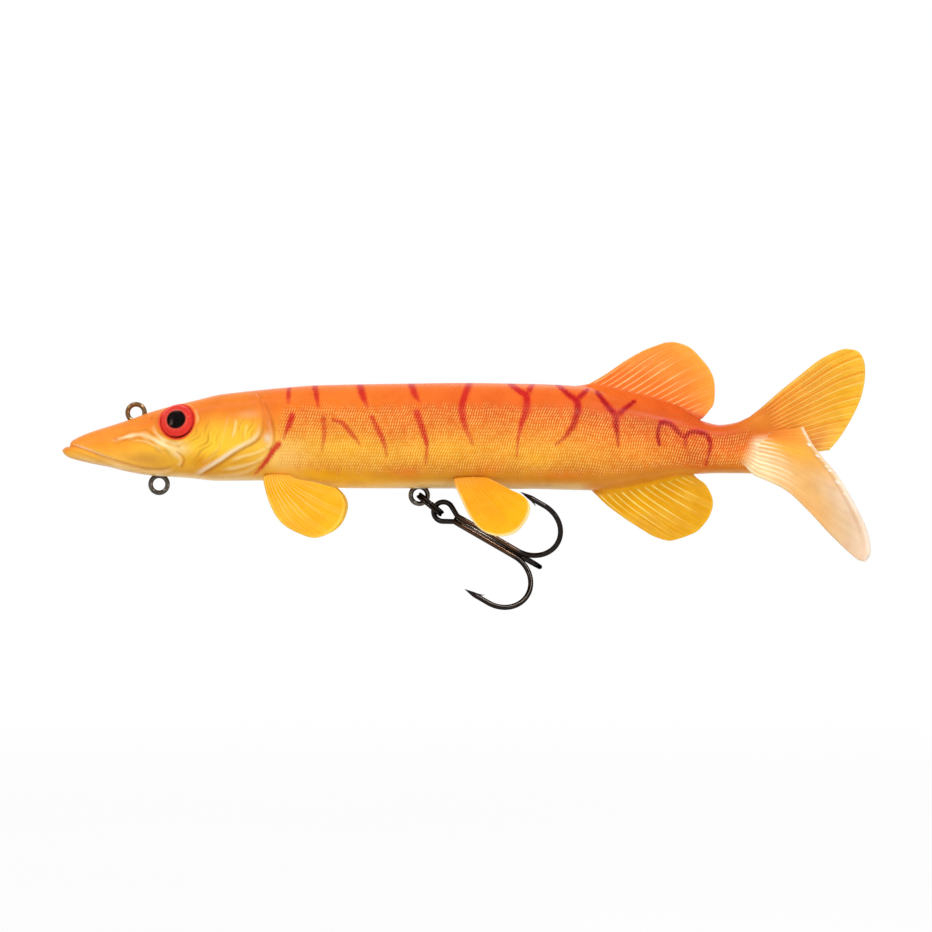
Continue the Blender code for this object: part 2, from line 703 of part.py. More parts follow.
def treble(eye_centre, joint, material):
    """Treble hook: one wire bent into the eye and two hooks, and a third hook brazed into their groove."""
    shank = heading(HOOK_DROP_DEG)
    up = Vector((0, 1, 0)).cross(shank) * -1
    half = (HOOK_WIRE + HOOK_LEG_GAP) / 2
    spread = math.radians(HOOK_SPREAD_DEG)
    legs = {}
    for sign in (-1, 1):
        outward = Vector((0, math.cos(spread), 0)) + up * sign * math.sin(spread)
        legs[sign] = hook_bend(eye_centre, shank, up * sign * half, outward)
    neck = math.hypot(HOOK_NECK, half)
    tangent = math.atan2(half, HOOK_NECK) + math.acos(HOOK_EYE_RADIUS / neck)
    eye_turns = [tangent + (2 * math.pi - 2 * tangent) * i / 15 for i in range(16)]
    loop = [eye_centre + HOOK_EYE_RADIUS * (math.cos(a) * shank + math.sin(a) * up) for a in eye_turns]
    necks = {sign: eye_centre + shank * HOOK_NECK + up * sign * half for sign in (-1, 1)}
    points = legs[1][0][::-1] + [necks[1]] + loop + [necks[-1]] + legs[-1][0]
    plain = [HOOK_WIRE / 2] * (len(loop) + 2)
    radii = legs[1][1][::-1] + plain + legs[-1][1]
    wire("treble_double_hook", points, HOOK_WIRE, joint, material, radii)
    depth = math.sqrt((HOOK_WIRE + HOOK_LEG_GAP) ** 2 - half**2)
    groove = Vector((0, depth, 0))
    third, third_radii = hook_bend(eye_centre, shank, groove, Vector((0, 1, 0)))
    head = eye_centre + groove + shank * HOOK_NECK
    wire("treble_single_hook", [head] + third, HOOK_WIRE, joint, material, [HOOK_WIRE / 2] + third_radii)


# Assembly


def make_materials():
    return {
        "skin": finish_material("orange_skin", (0.93, 0.36, 0.05), 0.3),
        "dorsal_fin": finish_material("orange_fin", (0.95, 0.33, 0.07), 0.3),
        "fin": finish_material("yellow_fin", (0.95, 0.50, 0.02), 0.3),
        "tail": finish_material("amber_tail", (0.94, 0.45, 0.10), 0.3),
        "iris": finish_material("red_iris", (0.75, 0.03, 0.03), 0.35),
        "lens": finish_material("clear_lens", (1.0, 1.0, 1.0), 0.05, transmission=1.0),
        "harness": finish_material("steel_wire", (0.35, 0.32, 0.28), 0.3, 1.0),
        "crimp": finish_material("crimp_sleeve", (0.55, 0.55, 0.55), 0.35, 1.0),
        "ballast": finish_material("cast_lead", (0.25, 0.25, 0.27), 0.6, 1.0),
        "hook": finish_material("black_nickel", (0.05, 0.045, 0.04), 0.2, 1.0),
    }


def make_joints(roots):
    joints = {"front": joint_at("front_frame", Vector((0, 0, 0)))}
    front = joints["front"]
    joints["waist"] = joint_at("waist_joint", Vector((WAIST_X, 0, 0)), front)
    joints["wrist"] = joint_at("wrist_joint", Vector((WRIST_X, 0, 0)), joints["waist"])
    joints["tail"] = joint_at("tail_joint", Vector((TAIL_X + TAIL_GAP / 2, 0, 0)), joints["wrist"])
    joints["dorsal"] = joint_at(
        "dorsal_joint", Vector((DORSAL_START_X, 0, top(DORSAL_START_X))), joints["waist"]
    )
    joints["anal"] = joint_at("anal_joint", Vector((ANAL_START_X, 0, belly(ANAL_START_X))), joints["waist"])
    for (kind, side), start in roots.items():
        joints[kind, side] = joint_at(f"{kind}_joint_{SIDE_NAMES[side]}", start, front)
    under = ring_centres()[2]
    joints["split_ring"] = joint_at("split_ring_joint", under, front)
    joints["treble"] = joint_at("treble_joint", split_far_side(under), joints["split_ring"])
    return joints


def main():
    clear_scene()
    materials = make_materials()
    roots = {}
    for side in SIDE_NAMES:
        roots["pectoral", side] = paired_root(side, PECTORAL_ROOT_X, PECTORAL_ROOT_Z, PECTORAL_ROOT_LENGTH)
        roots["pelvic", side] = paired_root(side, PELVIC_ROOT_X, PELVIC_ROOT_Z, PELVIC_ROOT_LENGTH)
    joints = make_joints(roots)
    front = soft_body(joints, materials)
    for side in SIDE_NAMES:
        eye(front, side, joints["front"], materials)
    head_wire(front, joints["front"], materials["harness"])
    belly_wire(front, joints["front"], materials["harness"])
    crimp(front, joints["front"], materials["crimp"])
    ballast(front, joints["front"], materials["ballast"])
    fins(joints, roots, materials)
    split_ring(joints["split_ring"]["at"], joints["split_ring"], materials["hook"])
    treble(joints["treble"]["at"], joints["treble"], materials["hook"])


main()
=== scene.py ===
import json
import bpy
import numpy as np
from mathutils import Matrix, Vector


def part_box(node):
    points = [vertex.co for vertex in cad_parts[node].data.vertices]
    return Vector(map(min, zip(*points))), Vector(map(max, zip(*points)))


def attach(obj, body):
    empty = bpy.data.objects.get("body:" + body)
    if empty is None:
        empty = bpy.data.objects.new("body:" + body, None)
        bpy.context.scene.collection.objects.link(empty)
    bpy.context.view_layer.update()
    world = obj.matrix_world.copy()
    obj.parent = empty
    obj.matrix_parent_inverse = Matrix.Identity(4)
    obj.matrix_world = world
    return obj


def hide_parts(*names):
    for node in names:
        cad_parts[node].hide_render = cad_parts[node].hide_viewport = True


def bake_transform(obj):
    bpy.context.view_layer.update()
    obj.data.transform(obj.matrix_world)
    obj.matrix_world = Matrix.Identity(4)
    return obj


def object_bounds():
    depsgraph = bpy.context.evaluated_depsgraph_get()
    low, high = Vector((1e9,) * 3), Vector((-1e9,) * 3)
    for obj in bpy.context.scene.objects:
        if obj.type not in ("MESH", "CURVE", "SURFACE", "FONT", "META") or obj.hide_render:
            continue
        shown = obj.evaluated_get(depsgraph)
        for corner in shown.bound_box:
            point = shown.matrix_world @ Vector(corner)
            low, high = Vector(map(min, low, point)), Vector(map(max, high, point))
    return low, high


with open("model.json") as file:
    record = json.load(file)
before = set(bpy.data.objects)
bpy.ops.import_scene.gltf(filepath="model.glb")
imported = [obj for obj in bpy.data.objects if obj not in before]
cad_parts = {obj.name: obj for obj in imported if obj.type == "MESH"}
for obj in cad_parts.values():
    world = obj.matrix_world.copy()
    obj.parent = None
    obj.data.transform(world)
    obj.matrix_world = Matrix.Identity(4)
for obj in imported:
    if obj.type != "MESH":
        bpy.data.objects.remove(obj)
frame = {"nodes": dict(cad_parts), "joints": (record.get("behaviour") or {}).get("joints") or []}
cadBox = [[float(v) for v in corner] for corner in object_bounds()]
joints = {j["name"]: j for j in frame["joints"]}
mm = 0.001  # shapes are worked out in millimetres: nose towards -X, left flank towards -Y, back up


# Numbers and curves

def toLinear(colour):
    # Screen colour, 0 to 255, to the linear light that shaders work in
    c = np.asarray(colour, float) / 255.0
    return np.where(c <= 0.04045, c / 12.92, ((c + 0.055) / 1.055) ** 2.4)


def rise(low, high, x):
    # 0 below low, 1 above high, level at both ends; high may be the smaller one
    t = np.clip((x - low) / (high - low), 0.0, 1.0)
    return t * t * (3.0 - 2.0 * t)


def hump(x, width):
    # Bell: 1 at x = 0, 0.37 at the width
    return np.exp(-((x / width) ** 2))


def bellAt(x, z, centre, reach):
    # Bell round a place on the flank: 1 at its centre, 0.37 at its reach along the body or up it
    return hump(np.hypot((x - centre[0]) / reach[0], (z - centre[1]) / reach[1]), 1.0)


def fullTurn(count):
    # Angles of points spread evenly round a circle
    return 2 * np.pi * np.arange(count) / count


def unit(v):
    return v / np.maximum(np.linalg.norm(v, axis=-1, keepdims=True), 1e-12)


def smoothLine(points, x):
    # Cubics through (x, value) points; the slope at a point is the harmonic mean of its neighbours' slopes
    px, pv = np.array(points, float).T
    step = np.diff(pv) / np.diff(px)
    same = step[:-1] * step[1:] > 0
    inner = np.where(same, 2 * step[:-1] * step[1:] / np.where(same, step[:-1] + step[1:], 1.0), 0.0)
    slope = np.concatenate((step[:1], inner, step[-1:]))
    i = np.clip(np.searchsorted(px, x, side="right") - 1, 0, len(px) - 2)
    span = px[i + 1] - px[i]
    t = (x - px[i]) / span
    ends = pv[i] * (1 + 2 * t) * (1 - t) ** 2 + pv[i + 1] * t * t * (3 - 2 * t)
    return ends + span * (slope[i] * t * (1 - t) ** 2 - slope[i + 1] * t * t * (1 - t))


def throughPoints(points, t):
    # Catmull-Rom curve: evenly spread points, each passed in the direction between its two neighbours
    p = np.asarray(points, float)
    p = np.vstack((2 * p[0] - p[1], p, 2 * p[-1] - p[-2]))
    place = np.clip(t, 0, 1) * (len(points) - 1)
    i = np.minimum(place.astype(int), len(points) - 2)
    f = (place - i)[..., None]
    a, b, c, d = p[i], p[i + 1], p[i + 2], p[i + 3]
    return 0.5 * (2 * b + (c - a) * f + (2 * a - 5 * b + 4 * c - d) * f**2 + (3 * b - a - 3 * c + d) * f**3)


def evenCurve(points, share):
    # Point at a share of the length of the curve through points
    dense = throughPoints(points, np.linspace(0, 1, 400))
    run = np.concatenate(((0,), np.cumsum(np.linalg.norm(np.diff(dense, axis=0), axis=-1))))
    return np.stack([np.interp(share, run / run[-1], dense[:, k]) for k in range(dense.shape[1])], -1)


def nearLine(points, x, z, count=20):
    # Distance to a curve drawn on the flank, + to the left of its direction, and the share along it
    line = throughPoints(points, np.linspace(0, 1, count + 1))
    a, d = line[:-1], np.diff(line, axis=0)
    px, pz = x[..., None] - a[:, 0], z[..., None] - a[:, 1]
    t = np.clip((px * d[:, 0] + pz * d[:, 1]) / (d**2).sum(1), 0, 1)
    gap = np.hypot(px - t * d[:, 0], pz - t * d[:, 1])
    pick = np.argmin(gap, axis=-1)[..., None]
    gap, t, turn = (np.take_along_axis(v, pick, -1)[..., 0] for v in (gap, t, d[:, 0] * pz - d[:, 1] * px))
    return gap * np.where(turn < 0, -1, 1), (pick[..., 0] + t) / count


def scatter(k, seed):
    # Numbers from 0 to 1 that look random and are the same each time
    return np.modf(np.abs(np.sin(k * 12.9898 + seed) * 43758.5453))[0]


def colourStops(stops, place):
    # Colour at a place between (place, screen colour) stops in rising order
    tints = toLinear([s[1] for s in stops])
    return np.stack([np.interp(place, [s[0] for s in stops], tints[:, k]) for k in range(3)], -1)


def over(base, colour, share):
    # Lays a screen colour over another by a share from 0 to 1 at each point
    return base + (toLinear(colour) - base) * share[..., None]


# Meshes

def gridFaces(rows, columns, wrapRows=False, wrapColumns=True):
    # Quads between neighbouring rows and columns of a grid
    r, c = np.arange(rows - (not wrapRows)), np.arange(columns - (not wrapColumns))
    r, c = np.meshgrid(r, c, indexing="ij")
    up, on = (r + 1) % rows, (c + 1) % columns
    corners = (r * columns + c, r * columns + on, up * columns + on, up * columns + c)
    return np.stack(corners, -1).reshape(-1, 4)


def fanFaces(ring, centre, back=False):
    # Triangles from a ring of points to one centre
    on = np.roll(ring, -1)
    pair = (on, ring) if back else (ring, on)
    return np.stack((np.full(len(ring), centre), *pair), -1)


def closedTube(rings):
    # Points and faces of a tube of rings, each end closed to the middle of its ring
    rows, columns = rings.shape[:2]
    points = np.vstack((rings.reshape(-1, 3), rings[0].mean(0), rings[-1].mean(0)))
    ring = np.arange(columns)
    ends = (fanFaces(ring, rows * columns, True), fanFaces(ring + (rows - 1) * columns, rows * columns + 1))
    return points, [gridFaces(rows, columns), np.vstack(ends)]


def joined(parts):
    # Several sets of points and faces as one
    faces, start = [], 0
    for points, quads in parts:
        faces += [f + start for f in quads]
        start += len(points)
    return np.vstack([p for p, _ in parts]), faces


def makePiece(name, points, faces, material, paint=None, flat=None, masks=None, normals=None):
    # Mesh in place from points in millimetres; all faces turn round if the volume inside comes out negative
    triangles = [(f[:, 0], f[:, 1], f[:, 2]) for f in faces]
    triangles += [(f[:, 0], f[:, 2], f[:, 3]) for f in faces if f.shape[1] == 4]
    volume = sum(np.einsum("ij,ij->", points[a], np.cross(points[b], points[c])) for a, b, c in triangles)
    faces = [f[:, ::-1] for f in faces] if volume < 0 else faces
    corners = np.concatenate([f.ravel() for f in faces]).astype(np.int32)
    sizes = np.concatenate([np.full(len(f), f.shape[1]) for f in faces])
    mesh = bpy.data.meshes.new(name)
    mesh.vertices.add(len(points))
    mesh.vertices.foreach_set("co", (points * mm).astype(np.float32).ravel())
    mesh.loops.add(len(corners))
    mesh.loops.foreach_set("vertex_index", corners)
    mesh.polygons.add(len(sizes))
    mesh.polygons.foreach_set("loop_start", (np.cumsum(sizes) - sizes).astype(np.int32))
    mesh.update(calc_edges=True)
    mesh.validate()
    mesh.shade_smooth()
    if flat is not None:
        mesh.uv_layers.new(name="flat").uv.foreach_set("vector", flat[corners].astype(np.float32).ravel())
    if paint is not None:
        opaque = np.concatenate((np.clip(paint, 0, 1), np.ones((len(paint), 1))), -1)
        layer = mesh.color_attributes.new("paint", "FLOAT_COLOR", "POINT")
        layer.data.foreach_set("color", opaque.astype(np.float32).ravel())
    for label, values in (masks or {}).items():
        mesh.attributes.new(label, "FLOAT", "POINT").data.foreach_set("value", values.astype(np.float32))
    if normals is not None:
        mesh.normals_split_custom_set_from_vertices(normals.astype(np.float32))
    mesh.materials.append(material)
    made = bpy.data.objects.new(name, mesh)
    bpy.context.scene.collection.objects.link(made)
    return made


# Shader nodes

noiseSpan = (0.3, 0.7)  # most values of a noise texture lie between these


def feed(tree, spot, value):
    if isinstance(value, bpy.types.NodeSocket):
        tree.links.new(value, spot)
    else:
        spot.default_value = value


def put(tree, kind, settings=None, **sockets):
    # One node; a socket is named with _ for a space, or numbered as n0, n1
    made = tree.nodes.new("ShaderNode" + kind)
    for key, value in (settings or {}).items():
        setattr(made, key, value)
    for key, value in sockets.items():
        spot = made.inputs[int(key[1:])] if key[1:].isdigit() else made.inputs[key.replace("_", " ")]
        feed(tree, spot, value)
    return made


def calc(tree, work, *values):
    made = put(tree, "Math", {"operation": work})
    for k, value in enumerate(values):
        feed(tree, made.inputs[k], value)
    return made.outputs[0]


def fade(tree, value, low, high, fromLow=0.0, fromHigh=1.0):
    # Eases from low to high while the value goes from fromLow to fromHigh
    smooth = {"interpolation_type": "SMOOTHSTEP"}
    return put(tree, "MapRange", smooth, Value=value, n1=fromLow, n2=fromHigh, n3=low, n4=high).outputs[0]


def mixColour(tree, share, a, b, way="MIX"):
    made = put(tree, "Mix", {"data_type": "RGBA", "blend_type": way}, n0=share, n6=a, n7=b)
    return made.outputs[2]


def rgba(*colour):
    return (*toLinear(colour).tolist(), 1.0)


def newGroup(name, inputs, outputs):
    tree = bpy.data.node_groups.new(name, "ShaderNodeTree")
    for label, kind, value in inputs:
        socket = tree.interface.new_socket(label, in_out="INPUT", socket_type="NodeSocket" + kind)
        if value is not None:
            socket.default_value = value
    for label, kind in outputs:
        tree.interface.new_socket(label, in_out="OUTPUT", socket_type="NodeSocket" + kind)
    return tree, tree.nodes.new("NodeGroupInput").outputs, tree.nodes.new("NodeGroupOutput").inputs


def useGroup(tree, group, **sockets):
    made = tree.nodes.new("ShaderNodeGroup")
    made.node_tree = group
    for key, value in sockets.items():
        feed(tree, made.inputs[key.replace("_", " ")], value)
    return made.outputs


def newMaterial(name, **values):
    made = bpy.data.materials.new(name)
    made.use_nodes = True
    shader = made.node_tree.nodes["Principled BSDF"]
    for key, value in values.items():
        shader.inputs[key.replace("_", " ")].default_value = value
    return made, made.node_tree, shader.inputs


def makeSoftMottle():
    # Cast plastic: slow clouds of tint, and a fine grain that drives gloss and height
    tree, got, give = newGroup(
        "softMottle",
        (
            ("Colour", "Color", None), ("Vector", "Vector", None),
            ("Cloud", "Float", 180.0), ("Grain", "Float", 2600.0),
        ),
        (("Colour", "Color"), ("Roughness", "Float"), ("Height", "Float")),
    )
    cloud = put(tree, "TexNoise", Vector=got["Vector"], Scale=got["Cloud"], Detail=3.0).outputs["Fac"]
    grain = put(tree, "TexNoise", Vector=got["Vector"], Scale=got["Grain"], Detail=2.0).outputs["Fac"]
    shade = put(tree, "CombineColor")
    for k, spread in enumerate((0.04, 0.07, 0.10)):
        feed(tree, shade.inputs[k], fade(tree, cloud, 1 - spread, 1 + spread, *noiseSpan))
    feed(tree, give["Colour"], mixColour(tree, 1.0, got["Colour"], shade.outputs[0], "MULTIPLY"))
    fine, slow = fade(tree, grain, 0.0, 0.10, *noiseSpan), fade(tree, cloud, 0.20, 0.28, *noiseSpan)
    feed(tree, give["Roughness"], calc(tree, "ADD", fine, slow))
    feed(tree, give["Height"], grain)
    return tree


def makeMetalWear():
    # Wire finish: rubbed patches in a second colour, and short scratches in the gloss
    tree, got, give = newGroup(
        "metalWear",
        (
            ("Colour", "Color", None), ("Rubbed", "Color", None),
            ("Vector", "Vector", None), ("Amount", "Float", 0.5),
        ),
        (("Colour", "Color"), ("Roughness", "Float"), ("Height", "Float")),
    )
    patch = put(tree, "TexNoise", Vector=got["Vector"], Scale=420.0, Detail=5.0).outputs["Fac"]
    scratch = put(tree, "TexNoise", Vector=got["Vector"], Scale=3200.0, Detail=2.0, Distortion=0.6)
    scratch = scratch.outputs["Fac"]
    rubbed = calc(tree, "MULTIPLY", fade(tree, patch, 0.0, 1.0, 0.42, 0.68), got["Amount"])
    feed(tree, give["Colour"], mixColour(tree, rubbed, got["Colour"], got["Rubbed"]))
    scratched, dull = fade(tree, scratch, 0.05, 0.10, 0.35, 0.65), calc(tree, "MULTIPLY", rubbed, 0.10)
    feed(tree, give["Roughness"], calc(tree, "ADD", scratched, dull))
    feed(tree, give["Height"], scratch)
    return tree


def makeScaleMarks():
    # Rows of leaning dashes, printed scales whose pale dashes also paint the scales' highlights: each row is
    # half a column on from the last, a dash leans with its height, and slow noise makes some of them fainter
    tree, got, give = newGroup(
        "scaleMarks",
        (("Flat", "Vector", None), ("Column", "Float", 0.86), ("Row", "Float", 1.0), ("Lean", "Float", 0.5)),
        (("Mark", "Float"), ("Height", "Float")),
    )
    place = put(tree, "SeparateXYZ", n0=got["Flat"]).outputs
    row = calc(tree, "DIVIDE", place[1], got["Row"])
    odd = calc(tree, "MODULO", calc(tree, "ABSOLUTE", calc(tree, "FLOOR", row)), 2.0)
    half = calc(tree, "MULTIPLY", odd, 0.5)
    across = calc(tree, "ADD", calc(tree, "DIVIDE", place[0], got["Column"]), half)
    high = calc(tree, "SUBTRACT", calc(tree, "FRACT", row), 0.5)
    lean = calc(tree, "SUBTRACT", across, calc(tree, "MULTIPLY", high, got["Lean"]))
    side = calc(tree, "ABSOLUTE", calc(tree, "SUBTRACT", calc(tree, "FRACT", lean), 0.5))
    ends = calc(tree, "ABSOLUTE", high)
    slow = put(tree, "TexNoise", Vector=got["Flat"], Scale=0.7, Detail=2.0).outputs["Fac"]
    # Distances from a dash's middle over which it fades, across it and lengthways, as shares of its cell
    spans = (("Mark", (0.08, 0.30), (0.28, 0.5)), ("Height", (0.0, 0.5), (0.1, 0.5)))
    shape = {}
    for label, wide, tall in spans:
        sideFade, endFade = fade(tree, side, 1.0, 0.0, *wide), fade(tree, ends, 1.0, 0.0, *tall)
        shape[label] = calc(tree, "MULTIPLY", sideFade, endFade)
    feed(tree, give["Mark"], calc(tree, "MULTIPLY", shape["Mark"], fade(tree, slow, 0.4, 1.0, 0.36, 0.58)))
    feed(tree, give["Height"], shape["Height"])
    return tree


softMottle, metalWear, scaleMarks = makeSoftMottle(), makeMetalWear(), makeScaleMarks()


def objectPlace(tree):
    return put(tree, "TexCoord").outputs["Object"]


def coat(tree, layer, spot):
    # A group's colour and roughness into the shader
    tree.links.new(layer["Colour"], spot["Base Color"])
    tree.links.new(layer["Roughness"], spot["Roughness"])


def softPlastic(name, scaled, glow, shine):
    # Painted soft plastic: the piece's own paint, mottled, with scale marks where the piece is scaled; the
    # marks' pale dashes also paint the scales' highlights, darker between them
    made, tree, spot = newMaterial(
        name, IOR=1.4, Specular_IOR_Level=shine, Subsurface_Weight=glow, Subsurface_Scale=0.0018,
        Subsurface_Radius=(1.0, 0.45, 0.15),
    )
    colour = put(tree, "Attribute", {"attribute_name": "paint"}).outputs["Color"]
    place = objectPlace(tree)
    height = None
    if scaled:
        flat = put(tree, "UVMap", {"uv_map": "flat"}).outputs[0]
        pitch = {"Column": scales["column"], "Row": scales["row"], "Lean": scales["lean"]}
        marks = useGroup(tree, scaleMarks, Flat=flat, **pitch)
        area = put(tree, "Attribute", {"attribute_name": "scaleArea"}).outputs["Fac"]
        mark = calc(tree, "MULTIPLY", marks["Mark"], area)
        between = calc(tree, "MULTIPLY", calc(tree, "SUBTRACT", area, mark), scales["gapShare"])
        colour = mixColour(tree, between, colour, rgba(*scales["gapColour"]), "MULTIPLY")
        # painted highlights: the scale print's pale dashes are lightened to stand for the scales' highlights
        shown = calc(tree, "MULTIPLY", mark, scales["markAndHighlightShare"])
        colour = mixColour(tree, shown, colour, rgba(*scales["markAndHighlightColour"]))
        height = calc(tree, "MULTIPLY", marks["Height"], area)
    soft = useGroup(tree, softMottle, Colour=colour, Vector=place)
    coat(tree, soft, spot)
    fine = put(tree, "Bump", Strength=0.15, Distance=0.00004, Height=soft["Height"])
    if height is not None:
        fine = put(tree, "Bump", Strength=0.5, Distance=0.00012, Height=height, Normal=fine.outputs[0])
    tree.links.new(fine.outputs[0], spot["Normal"])
    return made


def wireMetal(name, colour, rubbed, amount, patch=None, edge=1.0):
    # Worn wire; round a patch's centre it takes another colour, full inside the first distance and gone at
    # the second
    made, tree, spot = newMaterial(name, Metallic=1.0, Specular_Tint=(edge, edge, edge, 1.0))
    place = objectPlace(tree)
    base = rgba(*colour)
    if patch:
        centre = tuple(v * mm for v in patch["centre"])
        apart = put(tree, "VectorMath", {"operation": "DISTANCE"}, n0=place, n1=centre).outputs["Value"]
        near, far = (v * mm for v in patch["reach"])
        base = mixColour(tree, fade(tree, apart, 1.0, 0.0, near, far), base, rgba(*patch["colour"]))
    wear = useGroup(tree, metalWear, Colour=base, Rubbed=rgba(*rubbed), Vector=place, Amount=amount)
    coat(tree, wear, spot)
    fine = put(tree, "Bump", Strength=0.02, Distance=0.00003, Height=wear["Height"])
    tree.links.new(fine.outputs[0], spot["Normal"])
    return made


snoutRing = {"centre": (0.0, 0.0, 0.0), "reach": (3.0, 7.0), "colour": (122, 88, 52)}
scales = {
    "column": 0.62, "row": 0.84, "lean": 0.6,  # pitch along the body and up the flank, lean of a mark
    "relief": 0.03,
    # the marks' colour and share paint the scales' highlights on top of their print
    "markAndHighlightShare": 0.66, "markAndHighlightColour": (255, 214, 118), "gapShare": 0.55, "gapColour": (234, 176, 120),
    "lowest": 0.15, "highest": 0.78,  # shares of the body's height
    "start": 34.5, "end": 155.0,  # places along the body
}
skinPlastic = softPlastic("skinPlastic", True, 0.10, 0.14)
finPlastic = softPlastic("finPlastic", False, 0.22, 0.15)
harnessSteel = wireMetal("harnessSteel", (78, 72, 66), (128, 116, 100), 0.5, snoutRing)
brazeSilver = wireMetal("brazeSilver", (64, 58, 54), (110, 104, 98), 0.5)
crimpPlate = wireMetal("crimpPlate", (176, 168, 150), (140, 120, 84), 0.6)
ballastMetal = wireMetal("ballastMetal", (92, 92, 96), (128, 126, 124), 0.8)
print("materials made")


# Skin of the whole body, worked out as one grid and cut into three pieces that meet exactly

skin = {
    "back": (
        (-18.25, -9.2), (-17.6, -8.65), (-16.45, -8.15), (-16.0, -7.2), (-15.4, -6.7), (-11.5, -4.9),
        (-6.5, -3.3), (-1.6, -1.7), (3.4, 0.1), (8.4, 1.5), (15.8, 3.3), (20.8, 4.5), (25.7, 5.1),
        (35.6, 6.1), (45.0, 6.8), (65.4, 7.2), (80.3, 7.4), (95.2, 7.2), (105.0, 6.9), (110.0, 6.5),
        (117.0, 5.0), (125.0, 3.0), (134.8, 0.1), (140.0, -1.9), (144.8, -3.0), (148.5, -2.5),
        (153.0, -0.6), (158.0, 1.0),
    ),
    "belly": (
        (-18.25, -9.5), (-17.8, -10.3), (-16.4, -11.2), (-11.5, -12.5), (-6.5, -13.5), (-1.6, -14.7),
        (3.4, -15.5), (13.3, -16.2), (20.8, -16.9), (30.7, -16.8), (40.0, -17.4), (53.0, -18.7),
        (78.0, -18.8), (97.6, -18.9), (112.5, -19.2), (120.0, -18.5), (127.4, -16.9), (134.8, -15.5),
        (144.8, -15.0), (150.0, -15.0), (158.0, -15.6),
    ),
    "halfWidth": (
        (-18.25, 0.5), (-17.7, 1.7), (-16.9, 2.9), (-15.8, 3.9), (-11.5, 5.0), (-6.5, 5.8), (3.4, 6.9),
        (13.3, 8.0), (30.7, 9.7), (65.4, 10.3), (95.2, 9.8), (115.0, 8.7), (134.8, 6.2), (147.2, 4.0),
        (153.0, 2.2), (158.0, 0.5),
    ),
    "squareness": 2.6,
    "sides": 256,
    "cuts": (-18.25, 33.0, 108.5, 157.6),  # where the three pieces start and end
    "steps": (0.25, 0.2, 0.2),
    "noseCrowd": 1.06,  # power by which the first piece's rings crowd towards the nose
    "headEnd": 42.0,  # no relief of the head lies behind this
    "waistBend": (93.5, 108.5),
    "wristBend": (136.5, 153.0),
    "keels": (  # where it starts, is full, starts to fall and ends, its height, up or down
        ((108.0, 118.0, 134.0, 139.0), 2.6, 1),
        ((112.0, 120.0, 132.0, 137.5), 2.0, -1),
    ),
    "keelWidth": 1.5,
}
